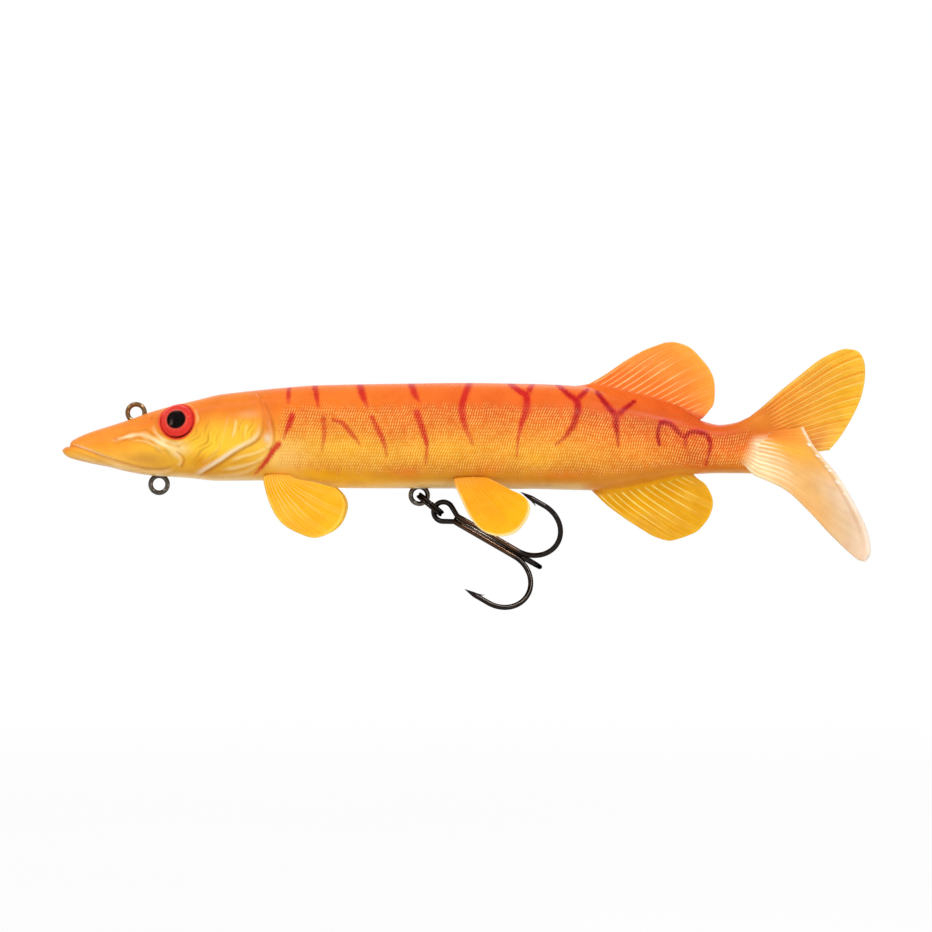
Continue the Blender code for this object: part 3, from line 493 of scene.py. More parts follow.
head = {
    "mouth": (
        (-16.4, -8.2), (-14.3, -8.5), (-11.6, -9.4), (-8.5, -10.6), (-4.5, -12.0), (-0.8, -13.1),
        (3.1, -13.9), (7.0, -14.0), (10.3, -13.2),
    ),
    "mouthDepth": 0.35, "mouthWide": 0.3,
    "lips": 0.30, "lipAt": 0.8, "lipWide": 0.5,  # height, distance from the mouth's line, half width
    "upperCreamAndHighlight": (0.75, 0.35, 0.28), "lowerCreamAndHighlight": (0.35, -0.55, 0.4),  # share, distance from it, half width of the cream on the lips, partly a painted highlight
    "ridges": (  # line, height, half widths at its ends, share of cream on it, partly a painted highlight on the crest
        (
            ((-15.5, -10.0), (-12.4, -11.3), (-8.6, -12.2), (-4.6, -13.1), (0.9, -14.7)),
            0.20, (0.4, 0.5), 0.3,
        ),
        (
            (
                (-6.8, -7.3), (-3.9, -6.7), (-0.8, -5.8), (2.3, -5.5), (5.0, -6.6), (7.7, -8.1),
                (10.3, -9.7), (11.8, -11.6),
            ),
            0.42, (0.35, 1.15), 0.9,
        ),
        (((-1.5, -7.0), (2.4, -7.1), (5.4, -8.4), (8.0, -10.2)), 0.20, (0.3, 0.5), 0.4),
        (((4.6, -2.8), (5.4, -4.9), (7.7, -6.7), (10.8, -7.4), (13.8, -6.4)), 0.10, (0.5, 0.6), 0.65),
        (((14.8, 0.9), (15.6, -1.2), (15.2, -3.4)), 0.20, (0.5, 0.5), 0.75),
        (((25.4, -1.4), (25.1, -4.0), (24.4, -6.6)), 0.14, (0.4, 0.35), 0.5),
        (((28.0, -2.6), (27.8, -4.6), (27.0, -6.6)), 0.10, (0.3, 0.3), 0.3),
        (((33.9, -8.2), (30.2, -10.0), (26.8, -10.9), (23.4, -12.2)), 0.30, (0.45, 0.5), 0.5),
        (((33.4, -9.9), (30.2, -12.1), (26.0, -13.3), (20.8, -14.2)), 0.30, (0.45, 0.5), 0.45),
        (((31.6, -12.2), (28.3, -14.2), (24.4, -15.1), (18.4, -15.4)), 0.26, (0.45, 0.5), 0.4),
    ),
    # Edge from top to bottom, height, its run forward, its share at the top, pale edge (partly a painted
    # highlight on the raised edge): share, start, width
    "plates": (
        (
            ((24.4, 0.4), (23.4, -2.2), (22.7, -5.5), (21.2, -9.0), (19.0, -11.3), (16.7, -12.9)),
            0.14, 2.6, 1.0, (0.12, 0.1, 0.3),
        ),
        (
            (
                (29.7, 5.0), (30.8, 3.1), (31.5, 0.2), (31.6, -2.8), (31.2, -5.4), (29.8, -7.1),
                (27.5, -8.3), (24.8, -9.8), (21.7, -11.9), (18.6, -13.7), (14.7, -15.9),
            ),
            0.60, 3.0, 0.4, (1.0, 0.36, 0.5),
        ),
        (
            ((31.6, 2.6), (33.2, -0.8), (34.1, -4.0), (34.2, -7.4), (33.0, -9.4)),
            0.26, 2.0, 0.6, (0.3, 0.35, 0.4),
        ),
        (((10.2, -9.8), (11.9, -11.6), (11.2, -13.4)), 0.28, 1.6, 1.0, (0.3, 0.0, 0.35)),
    ),
    "nostrils": ((-4.5, -6.75, 0.42, 0.3), (4.2, -1.4, 0.3, 0.2)),  # place, radius, depth
    "jawSwell": ((3.2, -10.8), (4.6, 1.7), 0.35),  # place, reach, height of the plate below the cream ridge
    "tints": (  # place, reach along and up, colour, share
        ((3.4, -11.2), (5.0, 1.7), (208, 142, 62), 0.55),
        ((11.6, -9.0), (2.2, 1.4), (254, 232, 180), 0.5),
        ((17.0, -12.0), (2.8, 1.8), (214, 134, 18), 0.8),
        ((19.5, -6.5), (3.8, 4.2), (252, 202, 56), 0.55),
        ((27.8, -4.4), (2.8, 2.4), (252, 206, 58), 0.6),
        ((28.3, -0.4), (2.6, 1.1), (246, 206, 166), 0.3),
        ((24.5, 1.1), (6.0, 1.6), (230, 122, 28), 0.7),
        ((33.3, -1.8), (1.5, 4.6), (226, 116, 44), 0.7),
        ((33.0, -6.3), (0.8, 1.1), (232, 216, 200), 0.6),
    ),
    # Place and reach of wavy upright streaks
    "wrinkles": (((17.6, -7.6), (4.2, 5.0)), ((27.9, -4.2), (2.4, 3.0))),
    "wrinklePitch": 1.15, "wrinkleHeight": 0.06,
}
eye = {
    "x": 10.7, "z": -2.1, "radius": 4.1, "dome": 1.6, "edge": 0.6, "cover": 0.3, "pupil": 0.57, "sides": 72,
    "rim": 0.45, "rimAt": 4.7, "rimWide": 0.5,  # height, distance from the eye's axis, half width
    "rimPaint": (4.95, 4.4), "plain": (5.6, 4.7),  # distances over which red paint and plain skin set in
    "socket": 2.6, "socketWall": (4.1, 3.75),  # depth, distances of the wall's top and foot
    "irisInset": 0.06, "irisFoot": -0.12,
    "farOff": 99.0,  # a distance greater than any on the head
}
tailBase = {"top": -4.6, "bottom": -13.8, "start": 151.5, "rays": 11}
bars = (  # line, half widths at its start, middle and end, strength
    (((38.1, 6.2), (38.1, 2.5)), (0.5, 0.5, 0.4), 0.8),
    (((39.1, -0.8), (38.3, -3.2), (37.0, -6.5)), (0.75, 0.7, 0.25), 0.95),
    (((44.4, 6.9), (45.0, 4.2), (45.5, 1.5)), (0.7, 0.55, 0.4), 0.85),
    (((46.8, -1.4), (47.0, -5.5), (46.4, -9.4)), (0.6, 0.55, 0.3), 0.65),
    (((49.2, -1.9), (51.4, -2.6), (53.1, -4.6), (54.8, -6.6), (55.7, -7.9)), (0.4, 0.6, 0.3), 0.75),
    (((55.5, 7.2), (56.4, 4.2), (57.5, 1.5)), (0.8, 0.75, 0.45), 0.9),
    (((58.7, -1.2), (60.2, -4.3), (61.6, -7.2), (62.3, -10.5)), (0.5, 0.65, 0.35), 0.8),
    (((68.2, 7.3), (69.2, 4.5), (70.3, 2.8)), (0.8, 0.7, 0.35), 0.85),
    (((69.7, -0.1), (70.7, -2.9), (71.6, -5.7), (72.2, -8.3), (71.9, -12.6)), (0.8, 0.65, 0.3), 0.9),
    (((82.7, 7.4), (81.1, 2.8), (80.9, 0.0), (81.6, -3.5), (83.4, -7.8)), (0.7, 0.85, 0.45), 0.9),
    (
        ((92.7, 7.2), (95.0, 5.2), (96.6, 4.0), (96.6, 0.5), (95.5, -2.6), (94.7, -6.0), (94.2, -11.0)),
        (0.6, 0.85, 0.2), 0.95,
    ),
    (((98.4, 7.2), (96.9, 4.6)), (0.5, 0.6, 0.6), 0.9),
    (
        (
            (104.4, 6.9), (106.9, 4.5), (109.0, 2.8), (109.2, 0.2), (108.1, -3.2), (106.1, -6.0),
            (103.9, -7.9),
        ),
        (0.5, 0.8, 0.35), 0.95,
    ),
    (((111.8, 5.7), (109.0, 3.0)), (0.45, 0.6, 0.6), 0.9),
    (
        ((114.2, 4.9), (116.3, 2.0), (118.5, -0.8), (118.7, -3.0), (119.0, -5.7), (119.2, -8.3)),
        (0.5, 0.8, 0.25), 0.95,
    ),
    (((123.4, 2.8), (121.2, 1.1), (118.7, -0.9)), (0.4, 0.55, 0.7), 0.9),
    (
        (
            (129.4, -7.9), (129.0, -5.5), (129.6, -2.9), (130.7, -2.4), (132.7, -3.3), (134.5, -5.3),
            (135.8, -6.4), (135.8, -8.0),
        ),
        (0.38, 0.64, 0.45), 0.97,
    ),
    (
        (
            (135.8, -6.0), (137.1, -4.9), (139.4, -4.9), (141.1, -5.5), (142.0, -7.3), (141.8, -10.0),
            (141.0, -12.8),
        ),
        (0.55, 0.6, 0.38), 0.97,
    ),
    (((35.8, -7.9), (34.3, -9.6), (33.0, -11.6), (31.2, -13.8), (29.8, -15.2)), (0.7, 0.55, 0.25), 0.9),
)
# The lowest stops of the cheek, shoulder, trunk and stalk gradients paint pale bounce light along the belly's
# edge, and shade on the lower flank just above it
paints = {  # colour by the share of the body's height, belly to back
    "snout": (
        (0.0, (216, 158, 72)), (0.15, (240, 180, 80)), (0.3, (244, 174, 62)), (0.45, (249, 164, 52)),
        (0.65, (248, 148, 46)), (1.0, (246, 146, 50)),
    ),
    "cheek": (
        (0.0, (232, 196, 136)), (0.08, (220, 156, 52)), (0.22, (234, 172, 44)), (0.4, (248, 192, 54)),
        (0.56, (247, 180, 54)), (0.7, (242, 148, 44)), (0.84, (234, 122, 38)), (1.0, (244, 138, 46)),
    ),
    "shoulder": (
        (0.0, (236, 176, 70)), (0.06, (236, 166, 34)), (0.14, (228, 152, 34)), (0.24, (242, 180, 52)),
        (0.38, (246, 186, 54)), (0.52, (242, 152, 44)), (0.64, (240, 138, 42)), (0.78, (236, 120, 36)),
        (0.9, (238, 118, 38)), (1.0, (246, 126, 44)),
    ),
    "trunk": (
        (0.0, (216, 178, 122)), (0.05, (222, 180, 108)), (0.075, (212, 152, 62)), (0.10, (206, 136, 34)),
        (0.17, (222, 150, 38)), (0.26, (238, 168, 42)), (0.38, (244, 174, 48)), (0.52, (240, 148, 44)),
        (0.64, (236, 124, 38)), (0.78, (228, 104, 34)), (0.9, (234, 106, 36)), (1.0, (246, 122, 44)),
    ),
    "stalk": (
        (0.0, (220, 162, 96)), (0.1, (208, 116, 28)), (0.3, (236, 130, 30)), (0.5, (238, 112, 32)),
        (0.75, (212, 84, 26)), (1.0, (216, 90, 30)),
    ),
    "spans": (
        ("cheek", -6.0, 10.0), ("shoulder", 26.0, 38.0), ("trunk", 50.0, 80.0), ("stalk", 96.0, 142.0),
    ),
    "patches": (  # place, reach along and up, colour, share
        ((42.0, -16.0), (9.5, 1.9), (242, 174, 4), 0.9),
        ((50.0, -8.6), (9.0, 3.6), (255, 200, 48), 0.45),
        ((37.5, -10.8), (5.5, 4.2), (255, 218, 130), 0.65),
        ((64.5, -4.3), (5.0, 2.6), (234, 112, 34), 0.5),
        ((67.3, -14.6), (4.0, 1.6), (238, 124, 30), 0.6),
        ((78.2, -9.2), (5.5, 3.0), (252, 194, 46), 0.5),
        ((87.6, -14.0), (3.4, 1.6), (238, 132, 30), 0.5),
        ((98.7, -11.6), (3.4, 2.2), (255, 198, 44), 0.6),
        ((105.0, -15.4), (7.0, 1.6), (232, 112, 26), 0.5),
        ((126.0, -9.8), (7.0, 2.4), (246, 150, 34), 0.4),
        ((96.0, -17.0), (8.0, 1.3), (226, 140, 30), 0.5),
        ((138.5, -10.8), (5.0, 3.6), (214, 92, 20), 0.85),
        ((155.5, -1.6), (8.0, 4.6), (224, 132, 42), 0.9),
    ),
    "finShade": (214, 134, 38), "finRoot": (238, 168, 24),
    "shadeFrom": (109.0, 114.0), "rootFrom": (113.0, 117.0), "finEnd": (140.0, 137.0),  # along the body
    "bar": (214, 32, 32), "barCore": (152, 0, 6),
    "barReach": 3.0, "barWiden": (90.0, 120.0), "barDarken": (90.0, 124.0),  # towards the tail
    "creamAndHighlight": (254, 234, 186),
    "paleEdgeAndHighlight": (240, 222, 196),
    "gillShade": (176, 84, 34),
    "tailRayAndHighlight": (255, 236, 190),
    "eyeRim": (234, 62, 44),
}


def bodySurface(x, turn):
    # Superellipse at each x: the point at angle turn has |y / half width|^q + |z / half height|^q = 1. A keel
    # that falls off with the distance from the middle leads up to the dorsal and the anal fin
    back, belly, wide = (smoothLine(skin[key], x)[:, None] for key in ("back", "belly", "halfWidth"))
    c, s = np.cos(turn), np.sin(turn)
    reach = (np.abs(c) ** skin["squareness"] + np.abs(s) ** skin["squareness"]) ** (-1 / skin["squareness"])
    y = wide * c * reach
    z = (back + belly) / 2 + (back - belly) / 2 * s * reach
    for (a, b, c, d), tall, up in skin["keels"]:
        lift = up * tall * rise(a, b, x) * rise(d, c, x)
        z = z + lift[:, None] * np.exp(-np.abs(y) / skin["keelWidth"]) * rise(0.0, 0.4, up * np.sin(turn))
    return np.stack((np.broadcast_to(x[:, None], y.shape), y, z), -1)


def gridNormals(p):
    # Outward direction on a grid of rings: the step round the ring crossed with the step along the body
    return unit(np.cross(np.roll(p, -1, 1) - np.roll(p, 1, 1), np.gradient(p, axis=0)))


def flankLength(p):
    # Length along the skin from the middle of the flank, + towards the back, alike on both sides
    sides = p.shape[1]
    quarter, half = sides // 4, sides // 2
    step = np.linalg.norm(np.roll(p, -1, 1) - p, axis=-1)
    run = np.concatenate((np.zeros((len(p), 1)), np.cumsum(step, 1)), 1)
    length = run[:, :-1].copy()
    length[:, 3 * quarter:] -= run[:, -1:]
    length[:, quarter:3 * quarter] = length[:, (half - np.arange(quarter, 3 * quarter)) % sides]
    return length


def eyeFrame(side):
    # Centre of the eye on the skin, and the outward direction there from the flank's slopes
    def flank(x, z):
        at = np.array([x])
        back, belly, wide = (smoothLine(skin[key], at)[0] for key in ("back", "belly", "halfWidth"))
        share = abs(z - (back + belly) / 2) / ((back - belly) / 2)
        return wide * (1 - share ** skin["squareness"]) ** (1 / skin["squareness"])
    slopeX = flank(eye["x"] + 0.5, eye["z"]) - flank(eye["x"] - 0.5, eye["z"])
    slopeZ = flank(eye["x"], eye["z"] + 0.5) - flank(eye["x"], eye["z"] - 0.5)
    centre = np.array((eye["x"], side * flank(eye["x"], eye["z"]), eye["z"]))
    return centre, unit(np.array((-slopeX, side, -slopeZ)))


def facingOut(normal):
    # 1 where the skin faces sideways, 0 along the middle of the back and the belly
    return rise(0.12, 0.4, np.abs(normal[..., 1]))


def headForm(p, normal):
    # Height of the head's relief over the plain skin, and how much cream, pale edge and gill shade lie on it:
    # cream and pale edges are partly painted highlights on ridges, lips and plate edges, gill shade is
    # painted shade in grooves, nostrils, below ridges and behind edges
    x, z = p[..., 0], p[..., 2]
    onSide = facingOut(normal)
    height, creamAndHighlight, paleAndHighlight, shade = (np.zeros_like(x) for _ in range(4))
    gap, share = nearLine(head["mouth"], x, z)
    fadeOut = 1 - rise(0.9, 1.0, share)
    front = rise(0.55, 0.35, share)
    height -= head["mouthDepth"] * hump(gap, head["mouthWide"]) * fadeOut
    lips = sum(hump(gap - way * head["lipAt"], head["lipWide"]) for way in (1, -1))
    height += head["lips"] * lips * fadeOut * rise(0.02, 0.12, share)
    creams = (head["upperCreamAndHighlight"], head["lowerCreamAndHighlight"])
    upper, lower = (part * hump(gap - at, wide) for part, at, wide in creams)
    # cream on the lips, partly a painted highlight
    creamAndHighlight += (front * upper + (1 - front) * lower) * fadeOut * rise(0.03, 0.2, share)
    shade += 0.3 * hump(gap, 0.2) * fadeOut
    for line, tall, (wideStart, wideEnd), tint in head["ridges"]:
        gap, share = nearLine(line, x, z)
        wide = (wideStart + (wideEnd - wideStart) * share) * (1 + 0.2 * np.sin(9 * share + 1.3 * x))
        ends = rise(0.0, 0.25, share) * rise(1.0, 0.75, share) * onSide
        height += tall * hump(gap, wide) * ends
        # cream along each ridge's crest, partly a painted highlight
        creamAndHighlight += 1.15 * tint * hump(gap, 0.7 * wide) * ends * (0.75 + 0.25 * np.sin(7 * share + 2.1 * z))
        shade += 0.45 * tint * hump(np.abs(gap) - 1.5 * wide, 0.4 * wide) * ends
    for line, tall, run, upper, (tint, creamFrom, creamWide) in head["plates"]:
        gap, share = nearLine(line, x, z)
        ends = rise(0.0, 0.06, share) * rise(1.0, 0.94, share) * onSide
        ends = ends * (1 - (1 - upper) * rise(0.5, 0.25, share))
        height += tall * np.exp(np.minimum(gap, 0) / run) * rise(0.28, -0.1, gap) * ends
        height -= 0.45 * tall * hump(gap - 0.5, 0.3) * ends
        streak = 0.8 + 0.2 * np.sin(11 * share + 1.7 * gap)
        begun = rise(creamFrom - 0.1, creamFrom + 0.1, share)
        # pale edge of each plate, partly a painted highlight on the raised edge
        paleAndHighlight += tint * streak * hump(gap + 0.9 * creamWide, creamWide) * ends * begun
        shade += 0.7 * hump(gap - 0.45, 0.3) * ends * (tall > 0.25)
    for cx, cz, reach, depth in head["nostrils"]:
        away = np.hypot(x - cx, z - cz)
        height += (0.35 * depth * hump(away - 1.7 * reach, 0.6 * reach) - depth * hump(away, reach)) * onSide
        shade += 1.2 * hump(away, 0.7 * reach) * onSide
    centre, reach, swell = head["jawSwell"]
    height += swell * bellAt(x, z, centre, reach) * onSide
    height += head["wrinkleHeight"] * wrinkles(x, z) * onSide
    return height, np.clip(creamAndHighlight, 0, 1), np.clip(paleAndHighlight, 0, 1), np.clip(shade, 0, 1)


def wrinkles(x, z):
    # Soft streaks, -1 to 1, that run along the cheek plate's edge inside the places that are wrinkled
    gap, share = nearLine(head["plates"][0][0], x, z)
    phase = (gap + 0.3 * np.sin(1.1 * z + 0.7 * x)) / head["wrinklePitch"]
    wave = 0.6 * np.sin(2 * np.pi * phase) + 0.4 * np.sin(2 * np.pi * phase * 0.43 + 0.8 * z)
    return wave * sum(bellAt(x, z, centre, reach) for centre, reach in head["wrinkles"])


def eyeDistance(p):
    # Distance of each point from the nearer eye's axis
    least = np.full(p.shape[:2], eye["farOff"])
    for side in (-1, 1):
        centre, out = eyeFrame(side)
        v = p - centre
        up = v @ out
        radial = np.linalg.norm(v - up[..., None] * out, axis=-1)
        least = np.where((p[..., 1] * side > 0) & (np.abs(up) < 5), radial, least)
    return least


def flankPaint(x, z):
    # Airbrushed gradient up the flank that changes along the body, with pale bounce light painted along the
    # belly's edge and shade painted on the lower flank above it, and the share of the height at each point
    x = np.minimum(x, skin["cuts"][-1])
    back, belly = smoothLine(skin["back"], x), smoothLine(skin["belly"], x)
    share = np.clip((z - belly) / (back - belly), 0, 1)
    colour = colourStops(paints["snout"], share)
    for key, start, end in paints["spans"]:
        colour = colour + (colourStops(paints[key], share) - colour) * rise(start, end, x)[..., None]
    for centre, reach, tint, strength in paints["patches"]:
        colour = over(colour, tint, strength * bellAt(x, z, centre, reach))
    shaded, rooted = (rise(*paints[key], x) * rise(*paints["finEnd"], x) for key in ("shadeFrom", "rootFrom"))
    colour = over(colour, paints["finShade"], rise(0.16, 0.05, share) * shaded)
    colour = over(colour, paints["finRoot"], rise(belly + 0.3, belly - 0.7, z) * rooted)
    return colour, share


def paintSkin(p, normal, creamAndHighlight, paleAndHighlight, shade, fromEye):
    # Gradient, then the head's tints and wrinkles with painted light on their crests and painted shade in
    # their creases, bars, gill shade, cream and pale edges and tail rays that are partly painted highlights,
    # a red eye rim
    x, z = p[..., 0], p[..., 2]
    colour, share = flankPaint(x, z)
    onSide = facingOut(normal)
    for centre, reach, tint, strength in head["tints"]:
        colour = over(colour, tint, strength * bellAt(x, z, centre, reach) * onSide)
    # painted light on the wrinkles' crests and painted shade in their creases
    creased = wrinkles(x, z) * onSide
    colour = colour * (1 + 0.10 * creased)[..., None]
    colour = over(colour, paints["gillShade"], 0.6 * np.maximum(-creased - 0.15, 0))
    barred = np.zeros_like(x)
    wobble = 0.13 * np.sin(5.1 * x + 2.3 * z) * np.sin(3.7 * z - 1.3 * x)
    for line, widths, strength in bars:
        xs = [point[0] for point in line]
        rows = (x[:, 0] > min(xs) - paints["barReach"]) & (x[:, 0] < max(xs) + paints["barReach"])
        gap, along = nearLine(line, x[rows], z[rows])
        gap = np.abs(gap) + wobble[rows]
        wide = 0.92 + 0.13 * rise(*paints["barWiden"], x[rows])
        wide = wide * np.interp(along, (0, 0.5, 1), widths)
        mark = strength * rise(1.95 * wide, 0.55 * wide, gap) * (1 - 0.45 * rise(0.6, 1.0, along))
        barred[rows] = np.maximum(barred[rows], mark)
        core = (0.25 + 0.65 * rise(*paints["barDarken"], x[rows])) * rise(1.4 * wide, 0.2 * wide, gap)
        colour[rows] = over(over(colour[rows], paints["bar"], mark), paints["barCore"], core * mark)
    colour = over(colour, paints["gillShade"], 0.7 * shade)
    # cream and pale edges, partly painted highlights on the head's ridges, lips and plate edges
    colour = over(over(colour, paints["creamAndHighlight"], 0.85 * creamAndHighlight), paints["paleEdgeAndHighlight"], 0.85 * paleAndHighlight)
    rays, spread = tailRays(x, z)
    onNear = rise(0.4, -0.4, p[..., 1])  # the lower lobe lies on the near side
    # pale tail rays on the skin, partly painted highlights on the rays
    colour = over(colour, paints["tailRayAndHighlight"], (0.45 + 0.5 * rays) * spread * onNear)
    colour = over(colour, paints["eyeRim"], 0.95 * rise(*eye["rimPaint"], fromEye))
    return colour, share, barred


def rayCentre(phase, ray):
    # Distance from a ray's own middle as a share of the pitch, and the ray's own strength
    return phase - ray - 0.5 + 0.16 * (scatter(ray, 1.0) - 0.5), 0.5 + 0.5 * scatter(ray, 2.0)


def tailRays(x, z):
    # Ray lines of the lower lobe carried on over the end of the body: a ray starts at its share t of the root
    # line and leans down the more the lower it starts; also the patch where the rays lie
    long = tailBase["top"] - tailBase["bottom"]
    t = (tailBase["top"] - z) / long
    for _ in range(3):
        t = (tailBase["top"] - z + (x - tailBase["start"]) * (0.09 - 0.35 * t - 0.52 * t * np.abs(t))) / long
    phase = t * tailBase["rays"]
    ray = np.floor(phase)
    off, strength = rayCentre(phase, ray)
    start = tailBase["start"] - 3.0 + 3.5 * (1 - t)
    patch = rise(0.05, 0.28, t) * rise(1.04, 0.94, t) * rise(start, start + 3.0, x)
    return hump(off, 0.32) * strength, patch


def scaleForm(flat, share, barred):
    # Places on the flat skin made to waver, where scales lie on it, and how far each scale stands out; rows
    # and columns are those of the scale marks
    along, up = flat[..., 0], flat[..., 1]
    x = along + (0.14 * np.sin(0.9 * up + 0.16 * along) + 0.06 * np.sin(2.1 * up - 0.5 * along))
    z = up + (0.15 * np.sin(0.33 * along) + 0.07 * np.sin(0.95 * along + 0.4 * up))
    edge = scales["start"] + 0.02 * (up + 2) ** 2
    ragged = 0.03 * np.sin(1.9 * along) * np.sin(0.63 * along + 1.0)
    area = rise(edge, edge + 2.0, along) * rise(scales["end"], scales["end"] - 6.0, along)
    area *= rise(scales["lowest"] - 0.03, scales["lowest"] + 0.05, share + ragged)
    area *= rise(scales["highest"] + 0.05, scales["highest"] - 0.05, share + ragged) * (1 - 0.75 * barred)
    row = z / scales["row"]
    across = x / scales["column"] + 0.5 * (np.abs(np.floor(row)) % 2)
    cell = np.cos(2 * np.pi * (across - 0.5)) * np.cos(np.pi * (row - np.floor(row) - 0.5))
    return np.stack((x, z), -1), area, scales["relief"] * cell * area


def cutSkin(points, stops, colour, flat, area):
    # Closed tubes that meet in shared rings and keep the whole skin's normals there
    normal = gridNormals(points)
    pieces, start = [], 0
    for name, stop in zip(("headSkin", "trunkSkin", "stalkSkin"), stops):
        rows = slice(start, start + len(stop))
        start += len(stop) - 1
        p, faces = closedTube(points[rows])
        spread = []
        for v in (colour[rows], flat[rows]):
            spread.append(np.vstack((v.reshape(-1, v.shape[-1]), v[0].mean(0), v[-1].mean(0))))
        mask = np.concatenate((area[rows].ravel(), (0, 0)))
        ends = np.array(((-1.0, 0, 0), (1.0, 0, 0)))
        directions = np.vstack((normal[rows].reshape(-1, 3), ends))
        piece = makePiece(name, p, faces, skinPlastic, spread[0], spread[1], {"scaleArea": mask}, directions)
        pieces.append(piece)
    return pieces


def makeSkin():
    # Rings of the plain body, moved along their normals by the relief, painted and cut into three pieces
    turn = fullTurn(skin["sides"])
    spans = list(zip(skin["cuts"], skin["cuts"][1:], skin["steps"]))
    stops = [np.linspace(a, b, int(np.ceil((b - a) / step)) + 1) for a, b, step in spans]
    nose = stops[0] - stops[0][0]
    stops[0] = stops[0][0] + nose ** skin["noseCrowd"] * nose[-1] ** (1 - skin["noseCrowd"])
    x = np.concatenate([stops[0]] + [s[1:] for s in stops[1:]])
    plain = bodySurface(x, turn)
    normal = gridNormals(plain)
    flat = np.stack((plain[..., 0], flankLength(plain)), -1)
    relief, creamAndHighlight, paleAndHighlight, shade, fromEye = (np.zeros(plain.shape[:2]) for _ in range(5))
    front = x < skin["headEnd"]
    relief[front], creamAndHighlight[front], paleAndHighlight[front], shade[front] = headForm(plain[front], normal[front])
    fromEye[:] = eye["farOff"]
    fromEye[front] = eyeDistance(plain[front])
    nearEye = rise(*eye["plain"], fromEye)
    relief *= 1 - nearEye
    creamAndHighlight *= 1 - nearEye
    relief += eye["rim"] * hump(fromEye - eye["rimAt"], eye["rimWide"])
    relief -= eye["socket"] * rise(*eye["socketWall"], fromEye)
    colour, share, barred = paintSkin(plain, normal, creamAndHighlight, paleAndHighlight, shade, fromEye)
    flat, area, raised = scaleForm(flat, share, barred)
    points = plain + normal * (relief + raised)[..., None]
    pieces = cutSkin(points, stops, colour, flat, area)
    headSkin, trunkSkin, stalkSkin = pieces
    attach(headSkin, "front_section")
    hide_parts("front_body")
    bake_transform(trunkSkin)
    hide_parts("waist_flex")
    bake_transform(stalkSkin)
    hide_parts("rear_body", "wrist_flex", "tail_root")
    print("skin:", [len(piece.data.polygons) for piece in pieces], "faces")


makeSkin()


# Eyes: a printed dome under a clear one

irisInk = {  # rings: share of the radius and colour
    # printed red whose outer rings are lightened as a painted reflection of the lens round the rim
    "rings": (
        (0.0, (216, 40, 36)), (0.6, (240, 84, 66)), (0.72, (232, 54, 46)), (0.9, (238, 58, 48)),
        (1.0, (236, 62, 50)),
    ),
    "fibre": (250, 140, 112),
    "pupil": (4, 4, 5),
}


def makeEyeMaterials():
    gloss = (0.42, 0.30, 0.26, 1.0)
    lens, tree, spot = newMaterial("eyeLens", Transmission_Weight=1.0, IOR=1.32, Specular_Tint=gloss)
    spot["Base Color"].default_value = (1.0, 0.985, 0.98, 1.0)
    haze = put(tree, "TexNoise", Vector=objectPlace(tree), Scale=1400.0, Detail=2.0).outputs["Fac"]
    tree.links.new(fade(tree, haze, 0.0, 0.03, 0.35, 0.65), spot["Roughness"])
    iris, tree, spot = newMaterial("eyeIris", IOR=1.3, Specular_IOR_Level=0.0)
    colour = put(tree, "Attribute", {"attribute_name": "paint"}).outputs["Color"]
    soft = useGroup(tree, softMottle, Colour=colour, Vector=objectPlace(tree), Cloud=900.0)
    coat(tree, soft, spot)
    return lens, iris


def makeEye(side, sideName, lens, iris):
    # Both are rings round the eye's axis and quarter ellipses in section: a clear dome over a printed one
    centre, out = eyeFrame(side)
    first = unit(np.cross(out, (0, 0, 1.0)))
    second = np.cross(out, first)
    turn = fullTurn(eye["sides"])
    spoke = np.cos(turn)[:, None] * first + np.sin(turn)[:, None] * second
    climb = np.linspace(0, np.pi / 2, 32)[:-1]

    def dome(name, material, wide, foot, top, tint=None):
        radii = np.concatenate(([0.004, wide - 0.2], wide * np.cos(climb), [0.02]))
        heights = np.concatenate(([-eye["edge"], -eye["edge"]], foot + (top - foot) * np.sin(climb), [top]))
        points, faces = closedTube(centre + radii[:, None, None] * spoke + heights[:, None, None] * out)
        paint = None
        if tint is not None:
            colour = tint(np.broadcast_to(radii[:, None] / eye["radius"], (len(radii), eye["sides"])))
            paint = np.vstack((colour.reshape(-1, 3), colour[0].mean(0), colour[-1].mean(0)))
        piece = makePiece(name + sideName, points, faces, material, paint)
        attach(piece, "front_section")
        return piece

    def irisTint(ring):
        fibre = 0.5 + 0.5 * np.cos(29 * turn + 3 * np.cos(5 * turn))
        colour = colourStops(irisInk["rings"], ring)
        colour = over(colour, irisInk["fibre"], 0.2 * fibre * hump(ring - 0.66, 0.1))
        return over(colour, irisInk["pupil"], rise(eye["pupil"] + 0.03, eye["pupil"] - 0.02, ring))

    lensDome = dome("eyeLens", lens, eye["radius"], 0.0, eye["dome"])
    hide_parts("eye_lens_" + sideName.lower())
    wide, top = eye["radius"] - eye["irisInset"], eye["dome"] - eye["cover"]
    irisDome = dome("eyeIris", iris, wide, eye["irisFoot"], top, irisTint)
    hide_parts("eye_iris_" + sideName.lower())


lensClear, irisPrint = makeEyeMaterials()
for side, sideName in ((-1, "Left"), (1, "Right")):
    makeEye(side, sideName, lensClear, irisPrint)
print("eyes made")


# Fins: thin sheets of rays between a root inside the body and a margin

